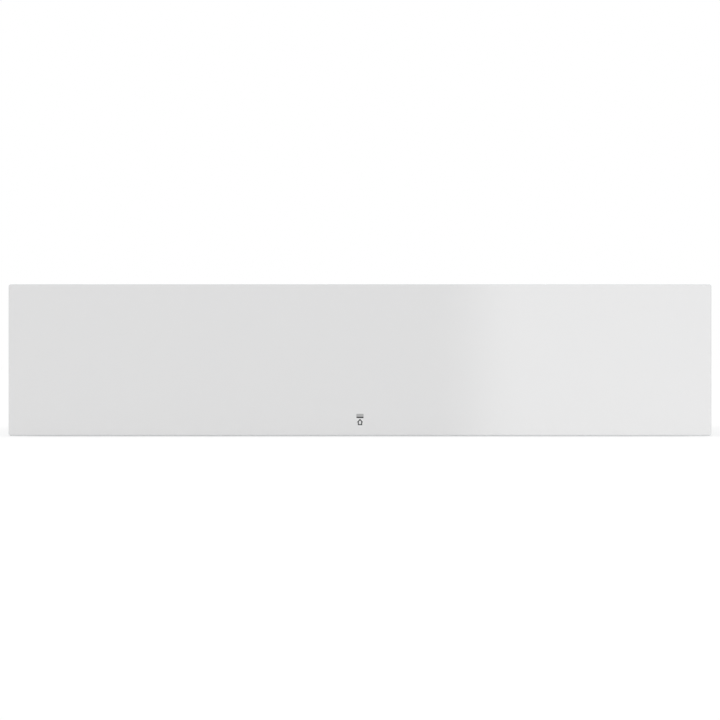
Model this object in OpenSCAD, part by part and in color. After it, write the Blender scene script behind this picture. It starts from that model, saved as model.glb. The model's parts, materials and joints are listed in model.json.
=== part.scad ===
// Built-in vacuum sealing drawer: a glass-fronted drawer on full-extension ball runners in a
// sheet-steel housing. The drawer carries a drawn steel vacuum chamber under a hinged glass lid,
// the sealing bar, the touch controls, and the pump, valve, transformer and power board behind.
// Millimetres. X runs along the front, Y towards the back, Z up. The origin is the bottom centre.

/* [Front] */
// Width of the front glass
front_w = 596; // [585:1:620]
// Height of the front glass
front_h = 128.5; // [124:0.5:140]
// Thickness of the front glass
glass_t = 5; // [4:0.5:6]
// Corner radius of the front glass
front_r = 2; // [1.5:0.5:4]
// Polished arris on every glass edge
arris = 0.6; // [0.3:0.1:1]
// Depth of the steel frame that the front glass is bonded to
frame_d = 14; // [12:1:20]
// Margin of the glass past its steel frame
frame_inset = 3; // [2:0.5:6]
// Wall of the steel frame
frame_t = 1; // [0.8:0.1:1.5]
// Width of the frame's gluing flange
frame_flange = 14; // [10:1:20]
// Height of the front's lower edge above the niche floor
front_lift = 0.5; // [0.5:0.5:4]

/* [Press latch] */
// Gap between the front and the housing, which the press stroke uses up
press_gap = 4; // [3.5:0.5:6]
// Width of the latch body
latch_w = 34; // [28:1:44]
// Height of the latch body
latch_h = 26; // [20:1:34]
// Radius of the latch plunger
plunger_r = 5; // [4:0.5:7]
// Length of the latch plunger
plunger_len = 26; // [24:1:27]
// Thickness of the steel strike that the plunger pushes on
strike_t = 1.5; // [1:0.5:2.5]

/* [Housing] */
// Outer width of the housing
housing_w = 558; // [552:1:562]
// Room behind the tray for the latch and the mains inlet
rear_room = 34; // [32:0.5:40]
// Height of the housing, without its glides
housing_h = 123; // [121:1:130]
// Steel sheet of the housing and of the drawer tray
sheet_t = 1.2; // [1:0.1:1.5]
// Height of the glides under the housing
glide_h = 3; // [2:0.5:5]
// Radius of the glides
glide_r = 12; // [8:1:16]
// Width of the housing's folded top flanges
top_flange = 12; // [8:1:14]
// Height that the stiffening beads stand up from a sheet
bead_h = 2; // [1.5:0.5:2.5]
// Radius of the screw holes that fix the housing to the cabinet
fixing_r = 2.25; // [1.8:0.05:2.75]
// Distance of the fixing holes from the housing's front edge
fixing_in = 16; // [12:1:24]
// Height between the two fixing holes of a side
fixing_pitch = 78; // [70:1:84]

/* [Runners] */
// Height of the outer runner member
runner_h = 45.7; // [45:0.1:47]
// Thickness of the whole runner
runner_t = 12.7; // [12.7:0.1:13.5]
// Sheet of the runner members
member_t = 1.2; // [1.1:0.05:1.3]
// Radius of the balls
ball_r = 1.75; // [1.6:0.05:1.8]
// Play of a ball in its race
race_play = 0.1; // [0.08:0.01:0.15]
// Balls in one row of a cage
balls = 6; // [4:1:8]
// Distance between the balls of a row
ball_pitch = 30; // [16:1:32]
// Sheet of the ball cages
cage_t = 0.6; // [0.5:0.05:0.7]
// Height of the runner's centre line above the niche floor
runner_z = 60; // [56:1:64]

/* [Drawer tray] */
// Height of the tray
tray_h = 99.5; // [98:0.5:101]
// Gap between the housing floor and the tray
tray_clear = 4.8; // [4:0.2:6]
// Outer corner radius of the tray
tray_r = 4; // [3:0.5:8]
// Width of the tray's folded top rim
tray_flange = 9; // [7:1:12]
// Length of the beads pressed into the tray's and the housing's side walls
side_bead = 110; // [80:5:130]

/* [Deck and controls] */
// Steel sheet of the deck
deck_t = 1.5; // [1:0.1:2]
// Height of the deck's folded rim
deck_rim = 10; // [6:1:14]
// Depth of the control area, from the front to the chamber's rim
control_d = 68; // [64:1:72]
// Width of the touch glass
touch_w = 500; // [420:5:515]
// Depth of the touch glass
touch_d = 46; // [40:1:48]
// Thickness of the touch glass
touch_t = 3; // [2:0.5:4]

/* [Vacuum chamber] */
// Inner width of the chamber
chamber_w = 350; // [330:5:380]
// Inner depth of the chamber, front to back
chamber_d = 285; // [275:1:290]
// Depth of the chamber below its rim
chamber_deep = 80; // [76:1:82]
// Inner corner radius of the chamber
chamber_r = 30; // [24:1:40]
// Radius between the chamber's walls and floor
floor_r = 12; // [8:1:16]
// Steel wall of the chamber
tub_t = 1.5; // [1.2:0.1:1.8]
// Ledge between the chamber wall and the gasket groove
ledge = 3; // [2.6:0.2:5]
// Width of the gasket groove
groove_w = 8; // [7:0.5:10]
// Depth of the gasket groove
groove_h = 5; // [4:0.5:6]
// Width of the rim that lies on the deck
lip_w = 9; // [7:1:12]
// Height that the gasket stands above the rim
gasket_up = 2.5; // [2:0.5:3]

/* [Glass lid] */
// Thickness of the lid glass
lid_t = 8; // [6:0.5:8]
// Corner radius of the lid glass
lid_r = 24; // [16:1:34]
// Overlap of the lid past the gasket groove at the front and sides
lid_over = 5; // [4:1:6]
// Depth of the rear strip of the lid that the hinges hold
hinge_strip = 25; // [22:1:27]
// Distance from the lid's rear edge to the hinge axis
hinge_back = 10; // [9.5:0.5:12]
// Radius of the hinge pins
hinge_pin_r = 3; // [2.5:0.25:3.5]
// Radius of the hinge knuckles
knuckle_r = 6; // [5:0.5:6.25]
// Width of one hinge knuckle
knuckle_w = 40; // [30:1:60]
// Distance of each hinge from the middle
hinge_x = 130; // [100:1:150]
// Sheet of the hinge clamps on the glass
clamp_t = 2; // [1.5:0.1:2.2]
// Length of the grip on the lid's front edge
grip_w = 150; // [100:5:220]

/* [Sealing bar] */
// Length of the sealing bar
seal_w = 310; // [290:5:318]
// Thickness of the sealing bar, front to back
seal_d = 16; // [14:1:20]
// Height of the sealing bar's body
seal_h = 26; // [20:1:30]
// Distance from the chamber's front wall to the bar's middle
seal_in = 32; // [30:1:40]
// Height from the chamber rim down to the top of the resting bar
seal_drop = 12; // [11.5:0.5:16]
// Stroke that lifts the bar against the lid
seal_stroke = 7.5; // [5:0.5:8]
// Distance of each lift piston from the middle
piston_x = 110; // [80:1:125]
// Radius of the lift rods
rod_r = 5; // [4:0.5:6]
// Radius of the pistons
piston_r = 14; // [12:0.5:15]
// Thickness of the pistons
piston_t = 4; // [3:0.5:4.5]
// Length of the bag clamp
bag_clamp_w = 130; // [100:5:200]

/* [Pump and motor] */
// Depth of the space behind the chamber that holds the pump and the electrics
bay_d = 111.3; // [106:0.1:125]
// Clearance in that space that the motor's diameter leaves, in all
motor_clear = 31.3; // [30:0.1:36]
// Length of the stator stack
stator_len = 50; // [40:1:55]
// Depth of each motor end bell
bell_len = 22; // [20:1:26]
// Distance of the motor's middle from the drawer's middle
motor_x = 95; // [93:1:97]
// Radius of the motor shaft
shaft_r = 4; // [3.5:0.25:5]
// Outer radius of the shaft bearings
bearing_r = 11; // [10:0.5:13]
// Width of the shaft bearings
bearing_w = 7; // [6:0.5:8]
// Radius that the cooling fan lacks on the motor
fan_in = 7; // [5:0.5:12]
// Pitch of the fan's blades, in degrees
fan_tilt = 32; // [15:1:45]
// Blades of the cooling fan
fan_blades = 9; // [5:1:12]
// Length of the finned pump body
pump_len = 70; // [60:1:80]
// Fins on the pump body
pump_fins = 8; // [6:1:10]
// Outer radius of the vacuum hoses
hose_r = 5; // [4.5:0.25:5.5]
// Wall of the vacuum hoses
hose_wall = 2; // [1.5:0.1:2.25]

/* [Hidden] */
$fn = 48;

// Running gap between a moving piece and what it moves in
run_gap = 0.3;
// Play of a pin, rod or shaft in its bore
pin_play = 0.06;
// Overrun of a cut past the face it opens
eps = 1;
// Bond line between the lid glass and what is glued or clamped on it
bond = 0.1;

// Depth that the mains inlet's flange stands behind the housing
inlet_rim = 3;

// Widths of the chamber's rim, out from its wall
groove_in = tub_t + ledge;
groove_out = groove_in + groove_w + tub_t;
rim_out = groove_out + lip_w;

// Depths that follow from the chamber, the controls in front of it and the bay behind it
tray_d = control_d + rim_out + chamber_d + tub_t + bay_d + sheet_t;
housing_d = tray_d + rear_room;
runner_in = 2;
runner_len = housing_d - runner_in - 22;

// Planes along the depth, from the front glass to the back
overall_d = glass_t + frame_d + press_gap + housing_d + inlet_rim;
y_front = -overall_d / 2;
y_frame = y_front + glass_t;
y_tray = y_frame + frame_d;
y_housing = y_tray + press_gap;
y_rear = y_housing + housing_d;
y_tray_rear = y_tray + tray_d;

// Levels, from the niche floor up
z_base = glide_h;
z_top = z_base + housing_h;
z_tray = z_base + sheet_t + tray_clear;
z_tray_floor = z_tray + sheet_t;
z_deck = z_tray + tray_h + deck_t;
z_rim = z_deck + tub_t;
z_floor = z_rim - chamber_deep;
z_gasket = z_rim + gasket_up;
z_lid = z_gasket + run_gap;
z_hinge = z_lid + lid_t / 2;

// Widths that follow from the housing and the runners
wall_x = housing_w / 2 - sheet_t;
tray_w = 2 * (wall_x - runner_t);

// Chamber and lid outlines
chamber_y = y_tray + control_d + rim_out + chamber_d / 2;
chamber_front = chamber_y - chamber_d / 2;
chamber_rear = chamber_y + chamber_d / 2;
lid_w = chamber_w + 2 * (groove_out + lid_over);
lid_front = chamber_front - groove_out - lid_over;
lid_rear = chamber_rear + groove_out + hinge_strip;
y_hinge = lid_rear + hinge_back;
seal_y = chamber_front + seal_in;
z_seal = z_rim - seal_drop;

// The space behind the chamber, and the sizes of what just fits into it
bay_front = chamber_rear + tub_t;
motor_r = (bay_d - motor_clear) / 2;
toroid_r = (bay_d - motor_clear + 4) / 2;
board_d = bay_d - 19.3;
bay_y = bay_front + bay_d / 2 + 8;

// The vacuum line from the valve to the pump crosses that space at this place
line_y = bay_front + 17.5;
line_z = z_tray_floor + 18;
bend_r = 18;
hose_stub = hose_r - hose_wall - 0.1;

// Shared shapes

module rounded_rect(w, d, r) {
    square([w - 2 * r, d], center = true);
    square([w, d - 2 * r], center = true);
    for (sx = [-1, 1], sy = [-1, 1])
        translate([sx * (w / 2 - r), sy * (d / 2 - r)]) circle(r);
}

module slot(length, width) {
    square([length - width, width], center = true);
    for (s = [-1, 1]) translate([s * (length - width) / 2, 0]) circle(width / 2);
}

// Sweeps a section round a rectangle. The section's x runs outwards from the corner's axis.
module around_rectangle(w, d, r) {
    for (i = [0:3]) {
        odd = i % 2;
        run = odd ? w - 2 * r : d - 2 * r;
        out = odd ? d / 2 - r : w / 2 - r;
        rotate(90 * i) {
            translate([out, run / 2, 0]) {
                rotate_extrude(angle = 90) children();
                rotate([90, 0, 0]) linear_extrude(run) children();
            }
        }
    }
}

// A flat plate with rounded corners and a small arris on every edge
module arris_plate(w, d, t, r, a) {
    around_rectangle(w, d, r)
        polygon([[0, 0], [r - a, 0], [r, a], [r, t - a], [r - a, t], [0, t]]);
    translate([r - w / 2, r - d / 2, 0]) cube([w - 2 * r, d - 2 * r, t]);
}

// A row of slots, centred, cut along Z
module slot_row(count, pitch, length, width, deep) {
    for (i = [0:count - 1])
        translate([(i - (count - 1) / 2) * pitch, 0, -eps])
            rotate(90) linear_extrude(deep + 2 * eps) slot(length, width);
}

module ring(r_out, r_in, h) {
    difference() {
        cylinder(r = r_out, h = h);
        translate([0, 0, -eps]) cylinder(r = r_in, h = h + 2 * eps);
    }
}

module along_x() { rotate([0, 90, 0]) children(); }
module along_y() { rotate([-90, 0, 0]) children(); }
module both_sides() { for (s = [-1, 1]) mirror([s < 0 ? 1 : 0, 0, 0]) children(); }

// Housing

base_w = 2 * wall_x;
fold_h = 12;

module housing_base() {
    bead_len = housing_d - 150;
    color("#b9bdc0") difference() {
        union() {
            translate([-base_w / 2, y_housing, z_base]) cube([base_w, housing_d - sheet_t, sheet_t]);
            for (s = [-1, 1])
                translate([s > 0 ? wall_x - sheet_t : -wall_x, y_housing, z_base])
                    cube([sheet_t, housing_d - sheet_t, fold_h]);
            for (x = [-180, -60, 60, 180])
                translate([x, (y_housing + y_rear) / 2, z_base + sheet_t])
                    rotate(90) linear_extrude(bead_h) slot(bead_len, 24);
        }
        for (x = [-180, -60, 60, 180])
            translate([x, (y_housing + y_rear) / 2, z_base])
                rotate(90) translate([0, 0, -eps]) linear_extrude(bead_h + eps)
                    slot(bead_len - 2 * sheet_t, 24 - 2 * sheet_t);
        for (x = [-120, 0, 120])
            translate([x, y_rear - 60, z_base]) slot_row(5, 12, 50, 5, sheet_t);
    }
}

// One wall of the housing, drawn for the right-hand side
module housing_side() {
    z_fix = z_base + housing_h / 2;
    difference() {
        union() {
            translate([wall_x, y_housing, z_base]) cube([sheet_t, housing_d, housing_h]);
            translate([brace_x, y_housing, z_top - sheet_t])
                cube([top_flange, housing_d - sheet_t, sheet_t]);
            for (y = side_bead_ys) translate([wall_x - side_bead_h, y, side_bead_z])
                along_x() linear_extrude(side_bead_h) rotate(90) slot(side_bead, 12);
        }
        for (y = side_bead_ys) translate([wall_x - side_bead_h + sheet_t, y, side_bead_z])
            along_x() linear_extrude(side_bead_h + eps) rotate(90)
                slot(side_bead - 2 * sheet_t, 12 - 2 * sheet_t);
        for (s = [-1, 1])
            translate([wall_x - eps, y_housing + fixing_in, z_fix + s * fixing_pitch / 2])
                along_x() cylinder(r = fixing_r, h = sheet_t + 2 * eps);
        for (y = rivet_ys)
            translate([wall_x - eps, y, runner_z]) along_x() cylinder(r = rivet_r, h = sheet_t + 2 * eps);
        for (i = [0:side_vent_steps])
            translate([wall_x - eps, side_vent_y - side_vent_pitch * i, z_top - 22])
                along_x() linear_extrude(sheet_t + 2 * eps) slot(22, 4);
    }
}

// Beads that stiffen the side walls above the runners, pressed towards the inside
side_bead_h = 2;
side_bead_z = runner_z + 42;
side_bead_ys = [for (i = [0:2]) y_housing + 0.1 * housing_d + side_bead / 2 + i * (side_bead + 16)];

// Vents in the side walls, from the rear forwards to 8 mm or more behind the last bead
side_vent_y = y_rear - 40;
side_vent_pitch = 14;
side_vent_room = side_vent_y - side_bead_ys[2] - side_bead / 2 - 10;
side_vent_steps = max(0, floor(side_vent_room / side_vent_pitch));

// The rear wall's top flange fits between those of the sides
brace_x = wall_x + sheet_t - top_flange;

module housing_rear() {
    color("#b9bdc0") difference() {
        union() {
            translate([-wall_x, y_rear - sheet_t, z_base]) cube([2 * wall_x, sheet_t, housing_h]);
            translate([-brace_x, y_rear - 2 * top_flange, z_top - sheet_t])
                cube([2 * brace_x, 2 * top_flange, sheet_t]);
        }
        translate([inlet_x, y_rear - sheet_t, inlet_z])
            along_y() translate([0, 0, -eps]) linear_extrude(sheet_t + 2 * eps)
                square([inlet_w + 0.4, inlet_h + 0.4], center = true);
        for (x = [-90, 130, 210])
            translate([x, y_rear - sheet_t, z_base + 0.62 * housing_h])
                along_y() slot_row(6, 10, 46, 4, sheet_t);
        for (s = [-1, 1])
            translate([s * latch_screw_x, y_rear - sheet_t - eps, runner_z])
                along_y() cylinder(r = 1.6, h = sheet_t + 2 * eps);
        for (s = [-1, 1])
            translate([inlet_x + s * inlet_screw_x, y_rear - sheet_t - eps, inlet_z])
                along_y() cylinder(r = 1.6, h = sheet_t + 2 * eps);
    }
}

module housing_glides() {
    color("#2c2e30") for (sx = [-1, 1], y = [y_housing + 40, y_rear - 40])
        translate([sx * (wall_x - 40), y, 0]) {
            cylinder(r1 = glide_r - 1.5, r2 = glide_r, h = 1);
            translate([0, 0, 1]) cylinder(r = glide_r, h = glide_h - 1);
        }
}

// Mains inlet on the rear wall

inlet_x = 77.8 - wall_x;
inlet_z = 42;
inlet_w = 27.5;
inlet_h = 20;
inlet_deep = 18;
inlet_cavity = [24.4, 16.6, 15.5];
inlet_screw_x = 20;
pin_len = 10.5;

module inlet_outline(w, h, cut) {
    polygon([
        [-w / 2, -h / 2], [w / 2, -h / 2], [w / 2, h / 2 - cut], [w / 2 - cut, h / 2],
        [cut - w / 2, h / 2], [-w / 2, h / 2 - cut]
    ]);
}

module at_inlet() { translate([inlet_x, y_rear, inlet_z]) rotate([90, 0, 0]) children(); }

module mains_inlet() {
    color("#1d1f21") at_inlet() difference() {
        union() {
            translate([0, 0, -inlet_rim]) linear_extrude(inlet_rim) rounded_rect(50, 24, 4);
            linear_extrude(inlet_deep) rounded_rect(inlet_w, inlet_h, 1.5);
        }
        translate([0, 0, -inlet_rim - eps]) linear_extrude(inlet_cavity[2] + eps)
            inlet_outline(inlet_cavity[0], inlet_cavity[1], 4);
        for (s = [-1, 1]) translate([inlet_screw_x * s, 0, -inlet_rim - eps]) {
            cylinder(r = 1.7, h = inlet_rim + 2 * eps);
            cylinder(r = 3.2, h = 1.6 + eps);
        }
    }
}

module inlet_pins() {
    color("#c9a24a") at_inlet()
        for (p = [[-7, -1.5], [7, -1.5], [0, 2.5]])
            translate([p[0] - 1, p[1] - 2, inlet_cavity[2] - inlet_rim - pin_len])
                cube([2, 4, pin_len]);
}

// Ball runners, in a section of u (from the housing wall inwards) and v (up from the middle)

race_r = ball_r + race_play;
row_outer = [5.2 + member_t, runner_h / 2 - member_t - race_r + 0.1];
row_inner = [row_outer[0] + 2.4, row_outer[1] - 5];
middle_web = 3.6;
outer_cage_web = 2.1;
inner_cage_web = middle_web + member_t + 0.4;
y_runner = y_housing + runner_in;
inner_len = y_tray_rear - y_runner;
cage_len = (balls - 1) * ball_pitch + 20;
travel = 450;
rivet_r = 2.5;
rivet_ys = [y_runner + 31, y_runner + 250, y_runner + 440];

// A formed ball race: the part of a ring within 65 degrees of straight up or down
module race(at, up) {
    far = 3 * (race_r + member_t);
    translate(at) mirror([0, up > 0 ? 0 : 1]) intersection() {
        difference() {
            circle(race_r + member_t);
            circle(race_r);
        }
        polygon([[0, 0], [far * cos(25), far * sin(25)], [0, far], [-far * cos(25), far * sin(25)]]);
    }
}

module outer_section() {
    square_v = runner_h / 2;
    translate([0, -square_v]) square([member_t, runner_h]);
    for (s = [0, 1]) mirror([0, s]) {
        translate([0, square_v - member_t]) square([row_outer[0], member_t]);
        race(row_outer, 1);
    }
}

module middle_section() {
    reach = row_outer[1] - race_r * sin(25) - 0.6;
    translate([middle_web, -reach]) square([member_t, 2 * reach]);
    for (s = [0, 1]) mirror([0, s]) {
        race(row_outer, -1);
        race(row_inner, 1);
    }
}

module inner_section() {
    low = row_inner[1] - race_r - member_t;
    translate([runner_t - member_t, -low - member_t]) square([member_t, 2 * (low + member_t)]);
    for (s = [0, 1]) mirror([0, s]) {
        race(row_inner, -1);
        translate([row_inner[0], low]) square([runner_t - row_inner[0], member_t]);
    }
}

module cage_section(web, row) {
    edge = row[0] + race_r + 0.7;
    translate([web, -row[1]]) square([cage_t, 2 * row[1]]);
    for (s = [-1, 1]) translate([web, s * row[1] - cage_t / 2]) square([edge - web, cage_t]);
}

// Puts (u, y, v) shapes on the left runner, or mirrored on the right one
module at_runner(side) {
    mirror([side > 0 ? 1 : 0, 0, 0]) translate([-wall_x, 0, runner_z]) children();
}

module along_runner(start, length) {
    translate([0, start + length, 0]) rotate([90, 0, 0]) linear_extrude(length) children();
}

module web_holes(u, ys, r) {
    for (y = ys) translate([u - eps, y, 0]) along_x() cylinder(r = r, h = member_t + 2 * eps);
}

module web_slots(u, ys) {
    for (y = ys)
        translate([u - eps, y, 0]) along_x() linear_extrude(member_t + 2 * eps)
            rotate(90) slot(14, 4.6);
}

// Tabs lanced from the outer member's web that stop the ball cage at each end of its travel
module cage_stops() {
    reach = cage_len / 2 + 7;
    for (y = [outer_cage_y + reach, outer_cage_y - travel / 4 - reach])
        translate([member_t - 0.2, y, 0]) rotate([0, 30, 0]) translate([0, -5, 0]) cube([0.8, 10, 3]);
}

module runner_outer(side) {
    color("#c4c8cb") at_runner(side) difference() {
        union() {
            along_runner(y_runner, runner_len) outer_section();
            cage_stops();
            translate([0, y_runner + runner_len - 6, -8]) cube([3, 6, 16]);
        }
        web_holes(0, rivet_ys, rivet_r);
        web_slots(0, [y_runner + 90, y_runner + 190, y_runner + 330]);
    }
}

module runner_middle(side) {
    color("#c4c8cb") at_runner(side) difference() {
        along_runner(y_runner, runner_len) middle_section();
        web_slots(middle_web, [for (i = [0:3]) y_runner + 60 + 120 * i]);
    }
}

module runner_inner(side) {
    color("#c4c8cb") at_runner(side) difference() {
        along_runner(y_runner, inner_len) inner_section();
        web_holes(runner_t - member_t, inner_screw_ys, 2.2);
        web_slots(runner_t - member_t, [y_runner + 110, y_runner + 300]);
    }
}

module ball_cage(side, web, row, middle) {
    color("#9aa0a4") at_runner(side) {
        difference() {
            along_runner(middle - cage_len / 2, cage_len) cage_section(web, row);
            for (y = ball_ys(middle)) translate([row[0], y, -runner_h / 2])
                cylinder(r = race_r + 0.05, h = runner_h);
        }
        for (y = ball_ys(middle), s = [-1, 1])
            translate([row[0], y, s * row[1]]) sphere(ball_r, $fn = 24);
    }
}

function ball_ys(middle) = [for (i = [0:balls - 1]) middle + (i - (balls - 1) / 2) * ball_pitch];

outer_cage_y = y_runner + runner_len / 2;
inner_cage_y = y_runner + inner_len / 2;
inner_screw_ys = [y_runner + 62, y_runner + 240, y_runner + 450];

// Flush rivets that hold the outer members to the housing, and the screws of the latch and inlet
module housing_fixings() {
    head = 0.7;
    color("#a9adb0") {
        for (side = [-1, 1], y = rivet_ys) at_runner(side) translate([-sheet_t, y, 0]) along_x() {
            cylinder(r = rivet_r - 0.05, h = sheet_t + member_t);
            translate([0, 0, sheet_t + member_t]) cylinder(r = rivet_r + 1.2, h = head);
        }
        for (s = [-1, 1]) translate([s * latch_screw_x, y_rear, runner_z]) along_y() {
            pan_head(2.8, 1.4, 0.8);
            translate([0, 0, -sheet_t - latch_foot - 2]) cylinder(r = 1.5, h = sheet_t + latch_foot + 2);
        }
        for (x = [inlet_x - inlet_screw_x, inlet_x + inlet_screw_x])
            translate([x, y_rear + inlet_rim - 1.6, inlet_z]) along_y() {
            pan_head(3, 1.4, 0.8);
            translate([0, 0, -inlet_rim - sheet_t]) cylinder(r = 1.5, h = inlet_rim + sheet_t);
        }
    }
}

// Press latch

latch_screw_x = latch_w / 2 + 6;
latch_foot = 4;
y_strike = y_tray_rear + strike_t;
y_latch = y_strike + press_gap + 0.5;
latch_bore = y_rear - sheet_t - 3.5;

module latch_body() {
    deep = y_rear - sheet_t - y_latch;
    color("#3a3d40") difference() {
        translate([0, y_latch, runner_z]) along_y() {
            linear_extrude(deep) rounded_rect(latch_w, latch_h, 4);
            translate([0, 0, deep - latch_foot]) linear_extrude(latch_foot)
                rounded_rect(latch_w + 24, latch_h - 4, 4);
            for (v = [-0.25, 0.25]) translate([-latch_w / 2 - 6, v * latch_h - 1, deep - latch_foot - 6])
                cube([latch_w + 12, 2, 6]);
            cylinder(r1 = plunger_r + 3, r2 = plunger_r + 5, h = 2);
        }
        translate([0, y_latch - eps, runner_z]) along_y()
            cylinder(r = plunger_r + run_gap, h = latch_bore - y_latch + eps);
        for (s = [-1, 1]) translate([s * latch_screw_x, y_latch - eps, runner_z]) along_y()
            cylinder(r = 1.6, h = deep + 2 * eps);
    }
}

module latch_plunger() {
    color("#d7dadc") translate([0, y_strike + run_gap, runner_z]) along_y() {
        cylinder(r1 = plunger_r - 0.8, r2 = plunger_r, h = 0.8);
        translate([0, 0, 0.8]) cylinder(r = plunger_r, h = plunger_len - 0.8);
    }
}

module strike_plate() {
    color("#aeb2b5") translate([0, y_tray_rear, runner_z]) along_y() difference() {
        linear_extrude(strike_t) rounded_rect(44, 22, 3);
        for (s = [-1, 1]) translate([17 * s, 0, -eps]) cylinder(r = 1.7, h = strike_t + 2 * eps);
    }
}

// Drawer tray and front

// Beads that stiffen the tray's side walls, above and clear of the runners
tray_bead_h = 2;
tray_bead_z = runner_z + 26;
tray_bead_ys = [for (i = [0:2]) y_tray + 0.1 * tray_d + side_bead / 2 + i * (side_bead + 16)];

module drawer_tray() {
    w = tray_w;
    color("#b3b7ba") difference() {
        union() {
            translate([0, y_tray + tray_d / 2, z_tray]) difference() {
                linear_extrude(tray_h) rounded_rect(w, tray_d, tray_r);
                translate([0, 0, sheet_t]) linear_extrude(tray_h)
                    rounded_rect(w - 2 * sheet_t, tray_d - 2 * sheet_t, tray_r - sheet_t);
            }
            for (s = [-1, 1])
                translate([s > 0 ? w / 2 - tray_flange : -w / 2, y_tray + tray_r, z_tray + tray_h - sheet_t])
                    cube([tray_flange, tray_d - 2 * tray_r, sheet_t]);
            for (y = [y_tray, y_tray_rear - tray_flange])
                translate([tray_r - w / 2, y, z_tray + tray_h - sheet_t])
                    cube([w - 2 * tray_r, tray_flange, sheet_t]);
            both_sides() for (y = tray_bead_ys) translate([w / 2 - tray_bead_h, y, tray_bead_z])
                along_x() linear_extrude(tray_bead_h) rotate(90) slot(side_bead, 12);
        }
        both_sides() for (y = tray_bead_ys)
            translate([w / 2 - tray_bead_h + sheet_t, y, tray_bead_z]) along_x()
                linear_extrude(tray_bead_h + eps) rotate(90)
                    slot(side_bead - 2 * sheet_t, 12 - 2 * sheet_t);
        for (x = [-0.4, 0.075, 0.17, 0.265, 0.36]) translate([x * tray_w, bay_y, z_tray])
            slot_row(3, 12, 60, 5, sheet_t);
        for (x = [-0.36, -0.265, 0.15, 0.245, 0.34, 0.43])
            translate([x * tray_w, y_tray_rear - sheet_t, z_tray + 0.72 * tray_h])
                along_y() slot_row(4, 9, 36, 4, sheet_t);
        for (side = [-1, 1]) at_runner(side)
            web_holes(runner_t + sheet_t - member_t, inner_screw_ys, 2.2);
        for (sx = [-1, 1], z = bracket_zs)
            translate([sx * bracket_screw_x, y_tray - eps, z]) along_y()
                cylinder(r = 2.7, h = sheet_t + 2 * eps);
        for (s = [-1, 1]) translate([17 * s, y_tray_rear - sheet_t - eps, runner_z]) along_y()
            cylinder(r = 1.7, h = sheet_t + 2 * eps);
        deck_screw_holes();
    }
}

// Puts a shape drawn flat in the plane of the front upright, facing forwards, from the plane y back
module upright(y) {
    translate([0, y, front_lift + front_h / 2]) rotate([-90, 0, 0]) children();
}

module front_glass() {
    color("#f0f0f0") upright(y_front) arris_plate(front_w, front_h, glass_t, front_r, arris);
}

frame_w = front_w - 2 * frame_inset;
frame_h = front_h - 2 * frame_inset;

module front_frame() {
    r = 3;
    color("#c9ccce") difference() {
        upright(y_frame) {
            difference() {
                linear_extrude(frame_d) rounded_rect(frame_w, frame_h, r);
                translate([0, 0, frame_t]) linear_extrude(frame_d - 2 * frame_t)
                    rounded_rect(frame_w - 2 * frame_t, frame_h - 2 * frame_t, r - frame_t);
                translate([0, 0, -eps]) linear_extrude(frame_t + 2 * eps)
                    rounded_rect(frame_w - 2 * frame_flange, frame_h - 2 * frame_flange, r);
            }
        }
        for (sx = [-1, 1], z = bracket_zs)
            translate([sx * bracket_screw_x, y_tray - frame_t - eps, z]) along_y()
                cylinder(r = 2.2, h = frame_t + 2 * eps);
    }
}

bracket_w = 34;
bracket_h = 76;
bracket_t = 2;
bracket_zs = [z_tray + 22, z_tray + 66];
bracket_screw_x = tray_w / 2 - sheet_t - 20;

// Angle brackets in the tray's front corners, with slots that let the front be set level
module front_brackets() {
    inside = tray_w / 2 - sheet_t;
    front = y_tray + sheet_t;
    color("#aeb2b5") both_sides() difference() {
        translate([0, 0, z_tray_floor + 4]) linear_extrude(bracket_h) intersection() {
            translate([0, y_tray + tray_d / 2])
                rounded_rect(2 * inside, tray_d - 2 * sheet_t, tray_r - sheet_t);
            union() {
                translate([inside - bracket_w, front]) square([bracket_w, bracket_t]);
                translate([inside - bracket_t, front]) square([bracket_t, 46]);
            }
        }
        for (z = bracket_zs)
            translate([bracket_screw_x, front - eps, z]) along_y()
                linear_extrude(bracket_t + 2 * eps) slot(10, 5.4);
        for (z = bracket_zs)
            translate([inside - bracket_t - eps, y_tray + 34, z]) along_x()
                linear_extrude(bracket_t + 2 * eps) slot(10, 5);
    }
}

module pan_head(r, h, socket) {
    difference() {
        cylinder(r1 = r, r2 = 0.78 * r, h = h);
        translate([0, 0, h - socket]) rotate(30) cylinder(r = 0.45 * r, h = socket + eps, $fn = 6);
    }
}

module drawer_screws() {
    color("#8d9194") {
        for (sx = [-1, 1], z = bracket_zs)
            translate([sx * bracket_screw_x, y_tray + sheet_t + bracket_t, z]) along_y() {
                pan_head(5, 3, 1.6);
                translate([0, 0, -bracket_t - sheet_t - frame_t - 5])
                    cylinder(r = 2.1, h = bracket_t + sheet_t + frame_t + 5);
            }
        for (p = deck_screw_points) translate([p[0], p[1], z_deck]) {
            pan_head(3.6, 1.4, 0.9);
            translate([0, 0, -deck_t - sheet_t - 3]) cylinder(r = deck_screw_r, h = deck_t + sheet_t + 3);
        }
        for (side = [-1, 1], y = inner_screw_ys) at_runner(side)
            translate([runner_t - member_t, y, 0]) rotate([0, -90, 0]) {
                pan_head(4.2, 2.4, 1.4);
                translate([0, 0, -member_t - sheet_t - 3])
                    cylinder(r = 2.1, h = member_t + sheet_t + 3);
            }
        for (s = [-1, 1]) translate([17 * s, y_tray_rear + strike_t, runner_z]) along_y() {
            pan_head(2.8, 1.2, 0.7);
            translate([0, 0, -strike_t - sheet_t - 2]) cylinder(r = 1.6, h = strike_t + sheet_t + 2);
        }
    }
}

deck_screw_r = 1.5;
deck_screw_points = concat(
    [for (sx = [-1, 1], t = [0.22, 0.5, 0.78]) [sx * (tray_w / 2 - 6), y_tray + t * tray_d]],
    [for (sx = [-1, 0, 1]) [sx * (tray_w / 2 - 60), y_tray_rear - 6]]
);

// Deck and controls

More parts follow.
